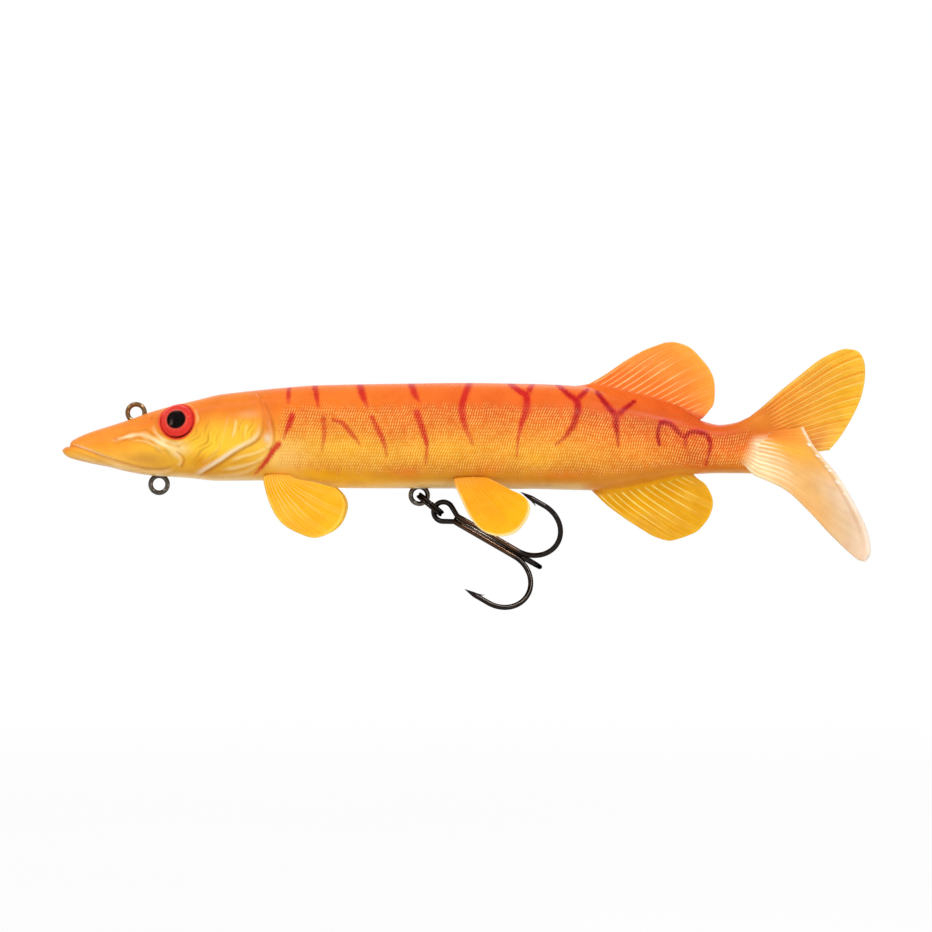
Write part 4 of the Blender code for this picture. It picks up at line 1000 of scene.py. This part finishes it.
def finSheet(fin, place, bodyPaint=True):
    # A patch between four drawn edges: root, margin, front and rear, each blended in by its share. The half
    # thickness falls from root to margin, flares into the body, swells along each ray and rounds off at the
    # rim
    fine = np.array((0.002, 0.005, 0.009, 0.014))  # extra rows and columns close to the edges
    s = np.unique(np.concatenate((np.linspace(0, 1, fin["rows"]), 1 - 2 * fine)))
    t = np.unique(np.concatenate((np.linspace(0, 1, fin["columns"]), fine, 1 - fine)))
    root, margin = evenCurve(fin["root"], t), evenCurve(fin["margin"], t)
    front = evenCurve((fin["root"][0], *fin["front"], fin["margin"][0]), s)[:, None]
    rear = evenCurve((fin["root"][-1], *fin["rear"], fin["margin"][-1]), s)[:, None]
    u, v = s[:, None, None], t[:, None]
    corners = (1 - u) * ((1 - v) * root[0] + v * root[-1]) + u * ((1 - v) * margin[0] + v * margin[-1])
    flat = (1 - u) * root + u * margin + (1 - v) * front + v * rear - corners
    col = s[:, None]
    length = np.linalg.norm(margin - root, axis=-1)
    step = np.linalg.norm(np.diff(flat, axis=1), axis=-1)
    run = np.concatenate((np.zeros((len(s), 1)), np.cumsum(step, 1)), 1)
    toMargin = (1 - col) * length
    rim = np.minimum(np.minimum(run, run[:, -1:] - run), toMargin)
    rounded = np.sqrt(np.clip(1 - (1 - np.clip(rim / fin["rimRadius"], 0, 1)) ** 2, 0, 1))
    beyond = np.maximum(col * length - fin["sunk"], 0)
    drawn, forked, between, ridge = finRays(fin, t, col, beyond)
    thick = fin["thickness"][1] + (fin["thickness"][0] - fin["thickness"][1]) * (1 - col) ** 1.5
    swell = fin["flare"][0] * hump(beyond, fin["flare"][1]) + fin["ridge"] * ridge * (1 - 0.5 * col)
    half = (thick / 2 + swell) * rounded * (1 - fin.get("feather", 0) * rise(0.35, 0.0, t))
    if "lens" in fin:
        oval = 1.1 * np.sqrt(np.clip(1 - (2 * t - 1) ** 2, 0, 1))
        half = half * (oval + (1 - oval) * rise(0.0, fin["lens"], beyond))
    half[-1] = np.maximum(half[-1], 0.04)  # the margin keeps a least thickness
    half[:, (0, -1)] = 0
    # Both faces of the sheet as rings, closed at the root and at the margin
    rings = np.concatenate((place(flat, half), place(flat, -half)[:, -2:0:-1]), 1)
    count, around = len(t), 2 * len(t) - 2
    k = np.arange(1, count - 2)
    strip = np.stack((k, k + 1, around - k - 1, around - k), -1)
    tips = np.array(((0, 1, around - 1), (count - 2, count - 1, count)))
    last = (len(s) - 1) * around
    faces = [gridFaces(len(s), around), strip[:, ::-1], tips[:, ::-1], strip + last, tips + last]
    sheet = (flat, t, col, beyond, toMargin, rim)
    tint = finPaint(fin, sheet, drawn, forked, between, bodyPaint)
    colour = np.concatenate((tint, tint[:, -2:0:-1]), 1)
    return rings.reshape(-1, 3), faces, colour.reshape(-1, 3)


def finRays(fin, t, col, beyond):
    # Each ray has its own place, strength, start and end; finer ones fill the outer part. Also the gaps
    # between rays and the height of the ridges
    phase = t * fin["rays"]
    ray = np.minimum(np.floor(phase), fin["rays"] - 1)
    off, strength = rayCentre(phase, ray)
    start = fin["rayStart"] * (0.6 + 0.8 * scatter(ray, 4.0))
    low, high = fin["rayReach"]
    end = low + (high - low) * scatter(ray, 3.0)
    wideStart, wideEnd = fin["rayWidth"]
    wide = wideStart + (wideEnd - wideStart) * rise(0.0, 0.5, col)
    drawn = hump(off, wide) * strength * rise(start, start + fin["rayEase"], beyond)
    drawn = drawn * rise(end + 0.2, end - 0.2, col) * (1 - fin["rayFade"] * col)
    forked = hump(3 * phase % 1 - 0.5, 0.3) * rise(0.35, 0.6, col) * scatter(np.floor(3 * phase), 6.0)
    between = hump(off + 0.3, 0.16) * (0.3 + 0.7 * scatter(ray, 5.0)) * rise(0.0, 3.0, beyond)
    ridge = 0.75 * drawn + 0.35 * hump(off, 0.3) * rise(0.0, 2.0, beyond) + 0.25 * forked
    return drawn, forked, between, ridge


def finPaint(fin, sheet, drawn, forked, between, bodyPaint):
    # Ground colour, the body's own near the root, then gaps, rays that partly paint highlights on their
    # ridges, a darker line of painted shade, the rim that is partly a painted highlight, and flecks that are
    # painted glints
    flat, t, col, beyond, toMargin, rim = sheet
    tint = colourStops(fin["colours"], np.broadcast_to(col, rim.shape))
    if "farColours" in fin:
        far = colourStops(fin["farColours"], np.broadcast_to(col, rim.shape))
        tint = tint + (far - tint) * np.broadcast_to(rise(*fin["farFrom"], t), rim.shape)[..., None]
    if bodyPaint:
        body = flankPaint(flat[..., 0], flat[..., 1])[0]
        tint = body + (tint - body) * rise(0.0, fin["paintBlend"], beyond)[..., None]
    if "gapReach" in fin:
        between = between * rise(*fin["gapReach"], col)
    tint = over(tint, fin["gapTint"], fin["gapShare"] * between)
    if "topTint" in fin:
        top = over(flankPaint(flat[..., 0], flat[..., 1])[0], fin["topTint"], rise(3.0, 10.0, beyond))
        tint = tint + (top - tint) * (0.95 * rise(0.26, 0.04, t) * rise(1.3, 0.6, col))[..., None]
    # pale rays, partly painted highlights on the ray ridges
    tint = over(tint, fin["rayTintAndHighlight"], np.clip(fin["rayGlow"] * drawn + fin["forkShare"] * forked, 0, 1))
    # painted shade: a darker line just inside the margin
    if "lip" in fin:
        at, wide = fin["lip"]
        run = rise(0.06, 0.2, t) * rise(0.98, 0.7, t)
        tint = over(tint, fin["lipTint"], fin["lipShare"] * run * hump(toMargin - at, wide))
    # pale rim: partly the fin's own pale margin, partly a painted highlight along the edge
    edge = toMargin if fin.get("marginOnly") else rim
    band = rise(fin["rimBand"], 0.15 * fin["rimBand"], edge) * rise(0.5, fin["rimEase"], beyond)
    tint = over(tint, fin["rimTintAndHighlight"], fin["rimShare"] * band)
    # painted glints: white flecks, broken along the margin
    if "glintFlecks" in fin:
        at, wide = fin["glintFlecks"]
        broken = rise(-0.2, 1.2, np.sin(61 * t) + 0.8 * np.sin(143 * t + 1.3))
        some = broken * rise(0.03, 0.1, t) * rise(0.62, 0.4, t)
        tint = over(tint, fin["glintTint"], some * hump(toMargin - at, wide))
    return tint


def onLine(key, start, end, sunk):
    # Five points of a fin's root, sunk below the back or above the belly
    x = np.linspace(start, end, 5)
    return tuple(zip(x.tolist(), (smoothLine(skin[key], x) + sunk).tolist()))


# Thickness is given at the root and at the margin, flare as height and reach, ray widths as shares of the ray
# pitch and ray reach as shares of the way out
middlePlane = {
    "rows": 48, "columns": 300, "rimRadius": 0.5, "thickness": (1.8, 0.8), "flare": (0.3, 1.2),
    "ridge": 0.16, "sunk": 3.0,
    "rayWidth": (0.11, 0.09), "rayReach": (0.4, 0.8), "rayStart": 0.9, "rayFade": 0.5, "rayEase": 1.2,
    "forkShare": 0.2, "gapShare": 0.2,
    "paintBlend": 3.0, "rimBand": 0.9, "rimShare": 0.5, "rimEase": 2.0,
}
dorsalFin = {
    **middlePlane,
    "root": onLine("back", 109.0, 138.4, -1.6),
    "margin": (
        (131.0, 17.4), (133.8, 17.5), (137.3, 16.2), (140.0, 13.6), (142.3, 10.6), (143.4, 7.4),
        (143.3, 2.6), (142.0, 0.4), (140.6, -1.2),
    ),
    "front": (
        (110.4, 6.3), (112.5, 7.3), (115.0, 8.7), (117.5, 10.3), (121.6, 13.1), (125.7, 15.4),
        (128.5, 16.5),
    ),
    "rear": (),
    "rays": 17,
    "colours": ((0.0, (242, 114, 40)), (0.3, (248, 122, 44)), (0.7, (250, 140, 46)), (1.0, (250, 160, 54))),
    "rayTintAndHighlight": (255, 222, 156), "rayGlow": 1.1, "rimTintAndHighlight": (252, 172, 72), "gapTint": (238, 110, 34),
}
analFin = {
    **middlePlane,
    "root": onLine("belly", 112.2, 137.0, 1.6),
    "margin": (
        (130.6, -31.5), (132.9, -31.7), (137.3, -30.3), (139.8, -28.8), (142.3, -25.4), (143.0, -21.7),
        (141.3, -17.9), (139.0, -16.2),
    ),
    "front": (
        (112.9, -19.2), (114.2, -20.5), (116.7, -22.9), (120.0, -25.4), (122.8, -27.3), (125.5, -29.0),
        (128.0, -30.5),
    ),
    "rear": (),
    "rays": 14, "rayStart": 0.2, "sunk": 2.6, "paintBlend": 1.6,
    "colours": ((0.0, (234, 158, 20)), (0.25, (232, 166, 8)), (0.7, (226, 158, 2)), (1.0, (226, 162, 6))),
    "rayTintAndHighlight": (255, 240, 140), "rayGlow": 1.1, "rimTintAndHighlight": (244, 192, 40), "gapTint": (224, 146, 4),
}
# Points are (along the body, away from it) from the start of the hinge; the root goes back into the flank
pectoralFin = {
    **middlePlane,
    "root": ((0.0, -4.5), (3.1, -4.5), (6.2, -4.5)),
    "margin": (
        (8.4, 15.3), (11.6, 16.7), (13.9, 16.8), (16.9, 15.4), (19.1, 12.6), (20.3, 8.6), (19.7, 5.5),
        (17.9, 3.1),
    ),
    "front": ((0.0, -1.0), (0.0, 0.6), (0.6, 3.6), (1.6, 6.9), (3.2, 10.5), (5.4, 13.3)),
    "rear": ((6.6, -1.2), (7.8, 0.3), (11.9, 1.3), (15.6, 2.4)),
    "thickness": (1.4, 0.8), "rays": 14, "sunk": 2.5, "rayStart": 0.6, "rayReach": (0.4, 0.8),
    "colours": (
        (0.0, (232, 166, 44)), (0.16, (236, 170, 40)), (0.3, (244, 172, 12)), (0.6, (246, 172, 4)),
        (1.0, (244, 174, 2)),
    ),
    "rayTintAndHighlight": (255, 234, 160), "rayGlow": 0.85, "rimTintAndHighlight": (255, 216, 90), "gapTint": (240, 160, 4),
    "lens": 8.0, "rimEase": 8.0,
    "splay": 28.0, "cup": 0.5, "climb": 0.1, "hinge": "pectoral", "holder": "front_section",
}
pelvicFin = {
    **pectoralFin,
    "root": ((0.0, -3.6), (4.0, -3.6), (8.0, -3.6)),
    "margin": (
        (6.9, 14.7), (8.9, 15.8), (11.6, 16.4), (15.1, 15.3), (17.6, 12.1), (18.7, 8.8), (18.2, 6.2),
        (16.4, 4.4),
    ),
    "front": ((0.0, -0.8), (0.1, 0.8), (0.8, 3.2), (1.8, 5.8), (3.5, 9.9), (5.2, 12.8)),
    "rear": ((8.4, -0.8), (9.4, 0.3), (10.8, 1.1), (14.1, 3.2)),
    "thickness": (1.1, 0.8), "flare": (0.05, 1.2), "sunk": 2.3, "rays": 12, "ridge": 0.06,
    "rayGlow": 0.15, "forkShare": 0.06, "gapShare": 0.05, "rimTintAndHighlight": (255, 226, 160), "rimShare": 0.85,
    "colours": (
        (0.0, (222, 146, 46)), (0.16, (228, 150, 40)), (0.32, (240, 156, 18)), (0.6, (244, 164, 8)),
        (1.0, (244, 174, 2)),
    ),
    "splay": 30.0, "climb": -0.3, "hinge": "pelvic",
}
upperTail = {
    "rows": 64, "columns": 260, "rimRadius": 0.6, "thickness": (2.6, 1.3), "flare": (0.3, 1.5),
    "ridge": 0.22, "sunk": 5.0,
    "root": ((149.5, -3.2), (151.0, -6.8), (152.5, -10.8)),
    "margin": (
        (176.5, 16.0), (179.2, 15.4), (180.8, 13.1), (181.1, 8.9), (180.0, 3.6), (177.7, -1.3),
        (174.8, -6.0), (172.0, -9.3),
    ),
    "front": ((152.6, -0.6), (154.8, 1.1), (159.6, 5.3), (164.6, 9.3), (169.6, 13.2), (174.3, 15.5)),
    "rear": ((159.0, -10.6), (166.0, -10.0)),
    "rays": 15, "rayWidth": (0.12, 0.09), "rayReach": (0.75, 1.15), "rayStart": 1.0, "rayFade": 0.2,
    "rayEase": 5.0, "forkShare": 0.2, "gapShare": 0.6,
    "paintBlend": 9.0, "rimBand": 0.9, "rimShare": 0.5, "rimEase": 4.0,
    "colours": (
        (0.0, (226, 122, 38)), (0.3, (232, 144, 46)), (0.55, (230, 154, 42)), (0.85, (232, 168, 18)),
        (1.0, (238, 182, 40)),
    ),
    "farColours": (
        (0.0, (236, 124, 36)), (0.4, (242, 150, 56)), (0.75, (234, 152, 78)), (1.0, (248, 196, 70)),
    ),
    "farFrom": (0.55, 0.95),
    "rayTintAndHighlight": (254, 218, 122), "rayGlow": 0.75, "rimTintAndHighlight": (250, 206, 90), "gapTint": (226, 122, 34),
    "curl": 3.0, "shift": 0.5, "curlFrom": 155.0, "curlOver": 26.0,
}
lowerTail = {
    **upperTail,
    "rimRadius": 0.5, "thickness": (2.4, 2.0), "ridge": 0.2, "sunk": 0.4, "feather": 0.7,
    "marginOnly": True, "rimBand": 1.0, "rimShare": 0.6,
    "root": ((152.5, -4.6), (152.2, -9.0), (151.0, -13.8)),
    "margin": (
        (165.3, -3.5), (167.6, -7.8), (170.0, -11.0), (173.6, -15.5), (177.6, -22.4), (180.6, -29.1),
        (181.4, -34.3), (180.4, -36.8),
    ),
    "front": ((159.0, -4.3),),
    "rear": (
        (153.5, -15.7), (156.2, -16.8), (161.4, -19.5), (166.6, -24.4), (172.3, -30.6), (178.0, -36.0),
    ),
    "rays": tailBase["rays"], "rayWidth": (0.34, 0.12), "rayStart": -2.0, "rayReach": (0.2, 0.36),
    "gapShare": 0.3, "forkShare": 0.05, "rayEase": 1.0, "paintBlend": 0.2, "topTint": (240, 138, 46),
    "colours": ((0.0, (238, 140, 40)), (0.3, (242, 172, 70)), (0.6, (244, 170, 54)), (1.0, (242, 180, 80))),
    "farColours": (
        (0.0, (246, 194, 124)), (0.15, (248, 204, 144)), (0.28, (246, 200, 138)), (0.42, (238, 184, 112)),
        (0.6, (234, 182, 116)), (0.8, (228, 190, 146)), (1.0, (240, 210, 182)),
    ),
    "farFrom": (0.2, 0.6),
    "rayTintAndHighlight": (255, 240, 200), "rayGlow": 1.2, "rimTintAndHighlight": (246, 230, 212), "gapTint": (226, 150, 70),
    # Place from the margin and half width of a line of painted shade just inside the rim
    "lip": (1.4, 0.5), "lipTint": (200, 150, 96), "lipShare": 0.5,
    "glintFlecks": (0.8, 0.35), "glintTint": (255, 250, 240), "gapReach": (0.8, 0.45),
    "curl": -6.0, "shift": -0.5,
}


def middleSheet(flat, offset):
    return np.stack((flat[..., 0], np.broadcast_to(offset, flat.shape[:-1]), flat[..., 1]), -1)


def curledSheet(fin):
    # Bends sideways with the square of the way along, the thickness square to the bend
    def place(flat, offset):
        way = np.maximum(flat[..., 0] - fin["curlFrom"], 0) / fin["curlOver"]
        slope = 2 * fin["curl"] * way / fin["curlOver"]
        size = np.sqrt(1 + slope**2)
        x, y = flat[..., 0] - offset * slope / size, fin["shift"] + fin["curl"] * way**2 + offset / size
        return np.stack((x, y, flat[..., 1]), -1)
    return place


def splayedSheet(fin, side, start):
    # Hangs from its hinge, leaning outwards by the splay and slightly cupped; behind the hinge it turns into
    # the flank
    a = np.radians(fin["splay"])
    ahead = np.array((1.0, 0, 0))
    down, out = np.array((0, side * np.sin(a), -np.cos(a))), np.array((0, side * np.cos(a), np.sin(a)))
    inward, above = unit(np.array((0, -side, fin["climb"]))), unit(np.array((0, side * fin["climb"], 1.0)))
    def place(flat, offset):
        away = flat[..., 1:]
        lean = rise(2.0, -1.5, away)
        cup = fin["cup"] * (np.maximum(away, 0) / 16) ** 2
        middle = start + flat[..., :1] * ahead + np.maximum(away, 0) * down + np.maximum(-away, 0) * inward
        middle = middle + cup * out
        return middle + offset[..., None] * unit(out * (1 - lean) + above * lean)
    return place, down


def hingePlace(name):
    return np.array(joints[name]["pos_m"], float) / mm, np.array(joints[name]["axis"], float)


def makeFins():
    for name, fin, node, child, slot, up in (
        ("dorsalFin", dorsalFin, "dorsal_fin", "dorsal", "orange_fin", 1),
        ("analFin", analFin, "anal_fin", "anal", "yellow_fin", -1),
    ):
        points, faces, colour = finSheet(fin, middleSheet)
        piece = makePiece(name, points, faces, finPlastic, colour)
        start, axis = hingePlace(child + "_lean")
        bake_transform(piece)
        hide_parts(node)
    for side, sideName in ((-1, "Left"), (1, "Right")):
        for fin in (pectoralFin, pelvicFin):
            kind, low = fin["hinge"], sideName.lower()
            start, _ = hingePlace(f"{low}_{kind}_flap")
            place, down = splayedSheet(fin, side, start)
            points, faces, colour = finSheet(fin, place, False)
            piece = makePiece(kind + "Fin" + sideName, points, faces, finPlastic, colour)
            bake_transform(piece)
            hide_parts(f"{kind}_fin_{low}")
    lobes = (("tailUpper", upperTail, "tail_fin_upper"), ("tailLower", lowerTail, "tail_fin_lower"))
    for name, fin, node in lobes:
        points, faces, colour = finSheet(fin, curledSheet(fin))
        piece = makePiece(name, points, faces, finPlastic, colour)
        start, _ = hingePlace("tail_fin_bend")
        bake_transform(piece)
        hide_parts(node)
    print("fins made")


makeFins()


# Wire harness, split ring and treble hook

def sweep(path, radius, across, sides=22, closed=False):
    # Round wire: circles square to a path; across is a direction that the path never runs along
    ahead = unit(np.roll(path, -1, 0) - np.roll(path, 1, 0)) if closed else unit(np.gradient(path, axis=0))
    across = np.broadcast_to(np.asarray(across, float), path.shape)
    side = unit(across - (across * ahead).sum(-1, keepdims=True) * ahead)
    turn = fullTurn(sides)[None, :, None]
    ring = np.cos(turn) * side[:, None] + np.sin(turn) * np.cross(ahead, side)[:, None]
    rings = path[:, None] + np.broadcast_to(radius, len(path))[:, None, None] * ring
    if not closed:
        return closedTube(rings)
    return rings.reshape(-1, 3), [gridFaces(len(path), sides, wrapRows=True)]


harness = {
    "wire": 1.2, "ring": 2.1, "ringSteps": 56, "chinX": 5.7,
    "run": (
        (2.8, -3.8), (3.7, -6.7), (5.2, -11.2), (7.2, -12.5), (12.0, -12.5), (40.0, -12.5), (66.0, -12.5),
        (69.2, -13.4), (70.2, -16.0),
    ),
}
splitRing = {"wire": 0.85, "radius": 3.55, "pitch": 0.8, "drop": 39.5}
treble = {
    "wire": 1.3, "drop": 30.0, "eye": 2.4, "neck": 3.5, "shank": 20.8, "legGap": 0.3, "spread": 120.0,
    "pair": (7.5, 6.7), "third": (7.4, 5.0), "thirdBack": 0.4,  # radius of the bend, length of the point
    "shankBrown": (76, 57, 44), "brownMiddle": 12.5, "brownReach": (6.5, 9.5),
    "tip": 0.07, "taperFrom": 0.42,
    "barb": (0.6, 0.26, 1.0),  # shares of the point where it starts and ends, how far it stands out
    "seam": 14.5, "seamWide": 0.5,  # length and half width of the braze
}
sideways = np.array((0, 1.0, 0))


def ringPart(centre):
    turn = fullTurn(harness["ringSteps"])
    path = centre + harness["ring"] * np.stack((np.cos(turn), 0 * turn, np.sin(turn)), -1)
    return sweep(path, harness["wire"] / 2, sideways, closed=True)


def makeHarness():
    # Closed rings in the middle plane, joined by round wire
    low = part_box("head_wire")[0].z / mm
    chin = np.array((harness["chinX"], 0, low + harness["ring"] + harness["wire"] / 2))
    leg = chin * np.linspace(0.12, 0.88, 12)[:, None]
    headWire = joined((ringPart(np.zeros(3)), sweep(leg, harness["wire"] / 2, sideways), ringPart(chin)))
    under, _ = hingePlace("split_ring_swing")
    flat = evenCurve((*harness["run"], (under[0], under[2] + harness["ring"])), np.linspace(0, 1, 120))
    run = np.stack((flat[:, 0], 0 * flat[:, 0], flat[:, 1]), -1)
    bellyWire = joined((sweep(run, harness["wire"] / 2, sideways), ringPart(under)))
    for name, part, node in (("headWire", headWire, "head_wire"), ("bellyWire", bellyWire, "belly_wire")):
        piece = makePiece(name, *part, harnessSteel)
        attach(piece, "front_section")
        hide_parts(node)
    print("harness made")


def slopeFrame(degrees):
    # Direction towards the tail that slopes down, and the one square to it, upwards
    a = np.radians(degrees)
    ahead = np.array((np.cos(a), 0, -np.sin(a)))
    return ahead, np.cross(ahead, sideways)


def makeNickel():
    # Black nickel, browner along the shank
    start, _ = hingePlace("treble_swing")
    shank, _ = slopeFrame(treble["drop"])
    middle = (start + treble["brownMiddle"] * shank).tolist()
    brown = {"centre": middle, "reach": treble["brownReach"], "colour": treble["shankBrown"]}
    return wireMetal("hookNickel", (40, 36, 34), (58, 50, 45), 0.4, brown, 0.3)


def makeSplitRing():
    # Two flat turns side by side with a short step between them, which hang from the belly ring
    start, _ = hingePlace("split_ring_swing")
    away, beside = slopeFrame(splitRing["drop"])
    turn = np.linspace(-1, 1, 150)[:, None]
    a = 2 * np.pi * turn + np.pi / 2
    beyond = splitRing["pitch"] * (rise(-0.12, 0.12, turn) - 0.5)
    path = start + splitRing["radius"] * ((1 + np.cos(a)) * away + np.sin(a) * sideways) + beside * beyond
    piece = makePiece("splitRing", *sweep(path, splitRing["wire"] / 2, beside), hookNickel)
    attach(piece, "ring")
    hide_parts("split_ring")
    print("split ring made")


def hookCurve(centre, shank, outward, size):
    # Half circle from the shank round to the point, then straight back; the wire thins towards the point
    a = np.linspace(0, np.pi, 48)[:, None]
    radius, long = size
    bend = centre + shank * (treble["shank"] + radius * np.sin(a)) + outward * radius * (1 - np.cos(a))
    share = np.linspace(0, 1, 22)[1:, None]
    point = centre + shank * (treble["shank"] - long * share) + outward * 2 * radius
    full = treble["wire"] / 2
    thin = rise(treble["taperFrom"], 1.25, share[:, 0]) / rise(treble["taperFrom"], 1.25, 1.0)
    narrow = np.minimum(full * (1 - thin) + treble["tip"], full)
    return np.vstack((bend, point)), np.concatenate((np.full(len(bend), full), narrow))


def barbPart(centre, shank, outward, across, size):
    # Sliver that lifts off the inner side of the point, towards the bend
    start, end, lift = treble["barb"]
    share = np.linspace(0, 1, 10)[:, None]
    radius, long = size
    along = treble["shank"] - long * (start + (end - start) * share)
    inward = treble["wire"] / 2 * 0.35 + (lift + 0.1) * share**1.2
    path = centre + shank * along + outward * (2 * radius - inward)
    return sweep(path, treble["wire"] / 2 * 0.62 * (1 - 0.9 * share[:, 0]), across, 14)


def makeTreble():
    # One wire bent into the eye and two hooks, and a third hook in the groove between their legs
    eyeCentre, _ = hingePlace("treble_swing")
    shank, up = slopeFrame(treble["drop"])
    half = (treble["wire"] + treble["legGap"]) / 2
    spread = np.radians(treble["spread"])
    outward = {sign: np.cos(spread) * sideways + sign * np.sin(spread) * up for sign in (1, -1)}
    leg = {sign: eyeCentre + sign * half * up for sign in (1, -1)}
    hook = {sign: hookCurve(leg[sign], shank, outward[sign], treble["pair"]) for sign in (1, -1)}
    tangent = np.arctan2(half, treble["neck"]) + np.arccos(treble["eye"] / np.hypot(treble["neck"], half))
    a = np.linspace(tangent, 2 * np.pi - tangent, 60)[:, None]
    loop = eyeCentre + treble["eye"] * (np.cos(a) * shank + np.sin(a) * up)
    stretch = np.linspace(treble["neck"], treble["shank"], 12)[:-1, None]
    straight = {sign: leg[sign] + shank * stretch for sign in (1, -1)}
    path = np.vstack((hook[1][0][::-1], straight[1][::-1], loop, straight[-1], hook[-1][0]))
    plain = np.full(len(loop) + 2 * len(stretch), treble["wire"] / 2)
    radius = np.concatenate((hook[1][1][::-1], plain, hook[-1][1]))
    barbs = []
    for sign in (1, -1):
        across = np.cross(shank, outward[sign])
        barbs.append(barbPart(leg[sign], shank, outward[sign], across, treble["pair"]))
    doubleHook = makePiece("doubleHook", *joined((sweep(path, radius, sideways), *barbs)), hookNickel)
    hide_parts("treble_double_hook")
    groove = eyeCentre + sideways * np.sqrt((2 * half) ** 2 - half**2) - shank * treble["thirdBack"]
    third, thin = hookCurve(groove, shank, sideways, treble["third"])
    third = np.vstack((groove + shank * stretch, third))
    thin = np.concatenate((np.full(len(stretch), treble["wire"] / 2), thin))
    barb = barbPart(groove, shank, sideways, up, treble["third"])
    singleHook = makePiece("singleHook", *joined((sweep(third, thin, up), barb)), hookNickel)
    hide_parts("treble_single_hook")
    share = np.linspace(0, 1, 30)
    seam = eyeCentre - 0.12 * sideways + shank * (treble["neck"] + 0.2 + treble["seam"] * share[:, None])
    swell = 0.02 + treble["seamWide"] * np.sin(np.pi * share) ** 0.4
    braze = makePiece("hookBraze", *sweep(seam, swell, sideways, 18), brazeSilver)
    for piece in (doubleHook, singleHook, braze):
        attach(piece, "treble")
    print("treble made")


makeHarness()
hookNickel = makeNickel()
makeSplitRing()
makeTreble()


# Inner CAD nodes keep their shape and get a finish

for node, finish in (("harness_crimp", crimpPlate), ("ballast_weight", ballastMetal)):
    slots = frame["nodes"][node].data.materials
    slots.clear()
    slots.append(finish)


# Stage

stage = {
    "floorDrop": 0.09, "floorSize": 6.0, "frameWidth": 0.2311, "middle": (0.0818, -0.0132), "lens": 150.0,
    "nearWhite": 0.9, "fadeOver": (0.35, 1.1), "fillLight": 0.49, "sensor": 36.0, "floorCells": 9,
}
lamps = {  # place, aim, size across and up, watts
    "keyLamp": ((-0.28, -0.30, 0.90), (0.06, 0.0, 0.0), (0.35, 0.35), 1.5),
    "fillLamp": ((0.36, -0.85, 0.48), (0.08, 0.0, -0.01), (0.24, 0.24), 1.5),
    "rearLamp": ((0.35, 0.60, 0.60), (0.08, 0.0, 0.0), (0.6, 0.6), 1.1),
    "eyeGlint": ((-0.508, -0.671, 0.433), (0.02, 0.0, 0.0), (0.10, 0.26), 1.6),
    "hookGlint": ((0.51, -0.475, 0.68), (0.10, 0.0, -0.03), (0.16, 0.16), 2.0),
    "lowGlint": ((0.60, -0.60, -0.09), (0.10, 0.0, -0.02), (0.16, 0.16), 0.5),
}


def whiteToEye(tree):
    # 1 for what the camera sees straight, mirrored or through glass, 0 for the light that falls on the object
    ray = put(tree, "LightPath").outputs
    both = calc(tree, "ADD", ray["Is Camera Ray"], ray["Is Glossy Ray"])
    return calc(tree, "MINIMUM", calc(tree, "ADD", both, ray["Is Transmission Ray"]), 1.0)


def makeStage():
    # Pale floor that fades to plain white away from the object, and a white world
    size, low = stage["floorSize"] / 2 / mm, (cadBox[0][2] - stage["floorDrop"]) / mm
    floorPaint, tree, spot = newMaterial("paleFloor", Roughness=0.85)
    place = objectPlace(tree)
    cloud = put(tree, "TexNoise", Vector=place, Scale=6.0, Detail=2.0).outputs["Fac"]
    patchy = fade(tree, cloud, 0.0, 1.0, *noiseSpan)
    tree.links.new(mixColour(tree, patchy, rgba(243, 243, 242), rgba(247, 247, 246)), spot["Base Color"])
    below = (stage["middle"][0], 0.0, low * mm)
    apart = put(tree, "VectorMath", {"operation": "DISTANCE"}, n0=place, n1=below).outputs["Value"]
    whiter = fade(tree, apart, stage["nearWhite"], 1.0, *stage["fadeOver"])
    share = calc(tree, "MULTIPLY", whiteToEye(tree), whiter)
    white = put(tree, "Emission", Strength=1.0)
    mixed = put(tree, "MixShader", n0=share, n1=tree.nodes["Principled BSDF"].outputs[0], n2=white.outputs[0])
    tree.links.new(mixed.outputs[0], tree.nodes["Material Output"].inputs["Surface"])
    cells = stage["floorCells"]
    x, y = np.meshgrid(np.linspace(-size, size, cells), np.linspace(-size, size, cells), indexing="ij")
    points = np.stack((x + stage["middle"][0] / mm, y, np.full_like(x, low)), -1).reshape(-1, 3)
    floor = makePiece("floor", points, [gridFaces(cells, cells, wrapColumns=False)[:, ::-1]], floorPaint)
    world = bpy.data.worlds.new("studio")
    bpy.context.scene.world = world
    world.use_nodes = True
    tree = world.node_tree
    strength = fade(tree, whiteToEye(tree), stage["fillLight"], 1.0)
    back = tree.nodes["Background"]
    back.inputs["Color"].default_value = (1.0, 1.0, 1.0, 1.0)
    tree.links.new(strength, back.inputs["Strength"])


def areaLamp(name, place, aim, size, power):
    # Oval lamp turned so that its -Z looks from place to aim
    lamp = bpy.data.lights.new(name, "AREA")
    lamp.shape, lamp.energy = "ELLIPSE", power
    lamp.size, lamp.size_y = size
    holder = bpy.data.objects.new(name, lamp)
    holder.location = place
    toAim = np.array(aim) - np.array(place)
    flat = np.hypot(toAim[0], toAim[1])
    tilt, turn = np.pi / 2 + np.arctan2(toAim[2], flat), np.arctan2(toAim[1], toAim[0]) - np.pi / 2
    holder.rotation_euler = (tilt, 0, turn)
    bpy.context.scene.collection.objects.link(holder)


makeStage()
for name, settings in lamps.items():
    areaLamp(name, *settings)
scene = bpy.context.scene
scene.view_settings.view_transform = "Standard"
camera = bpy.data.objects.new("camera", bpy.data.cameras.new("camera"))
camera.data.lens, camera.data.sensor_width = stage["lens"], stage["sensor"]
camera.data.clip_start, camera.data.clip_end = 0.01, 20.0
away = stage["frameWidth"] * stage["lens"] / stage["sensor"]
camera.location = (stage["middle"][0], -away, stage["middle"][1])
camera.rotation_euler = (np.pi / 2, 0, 0)
scene.collection.objects.link(camera)
scene.camera = camera
print("stage set")
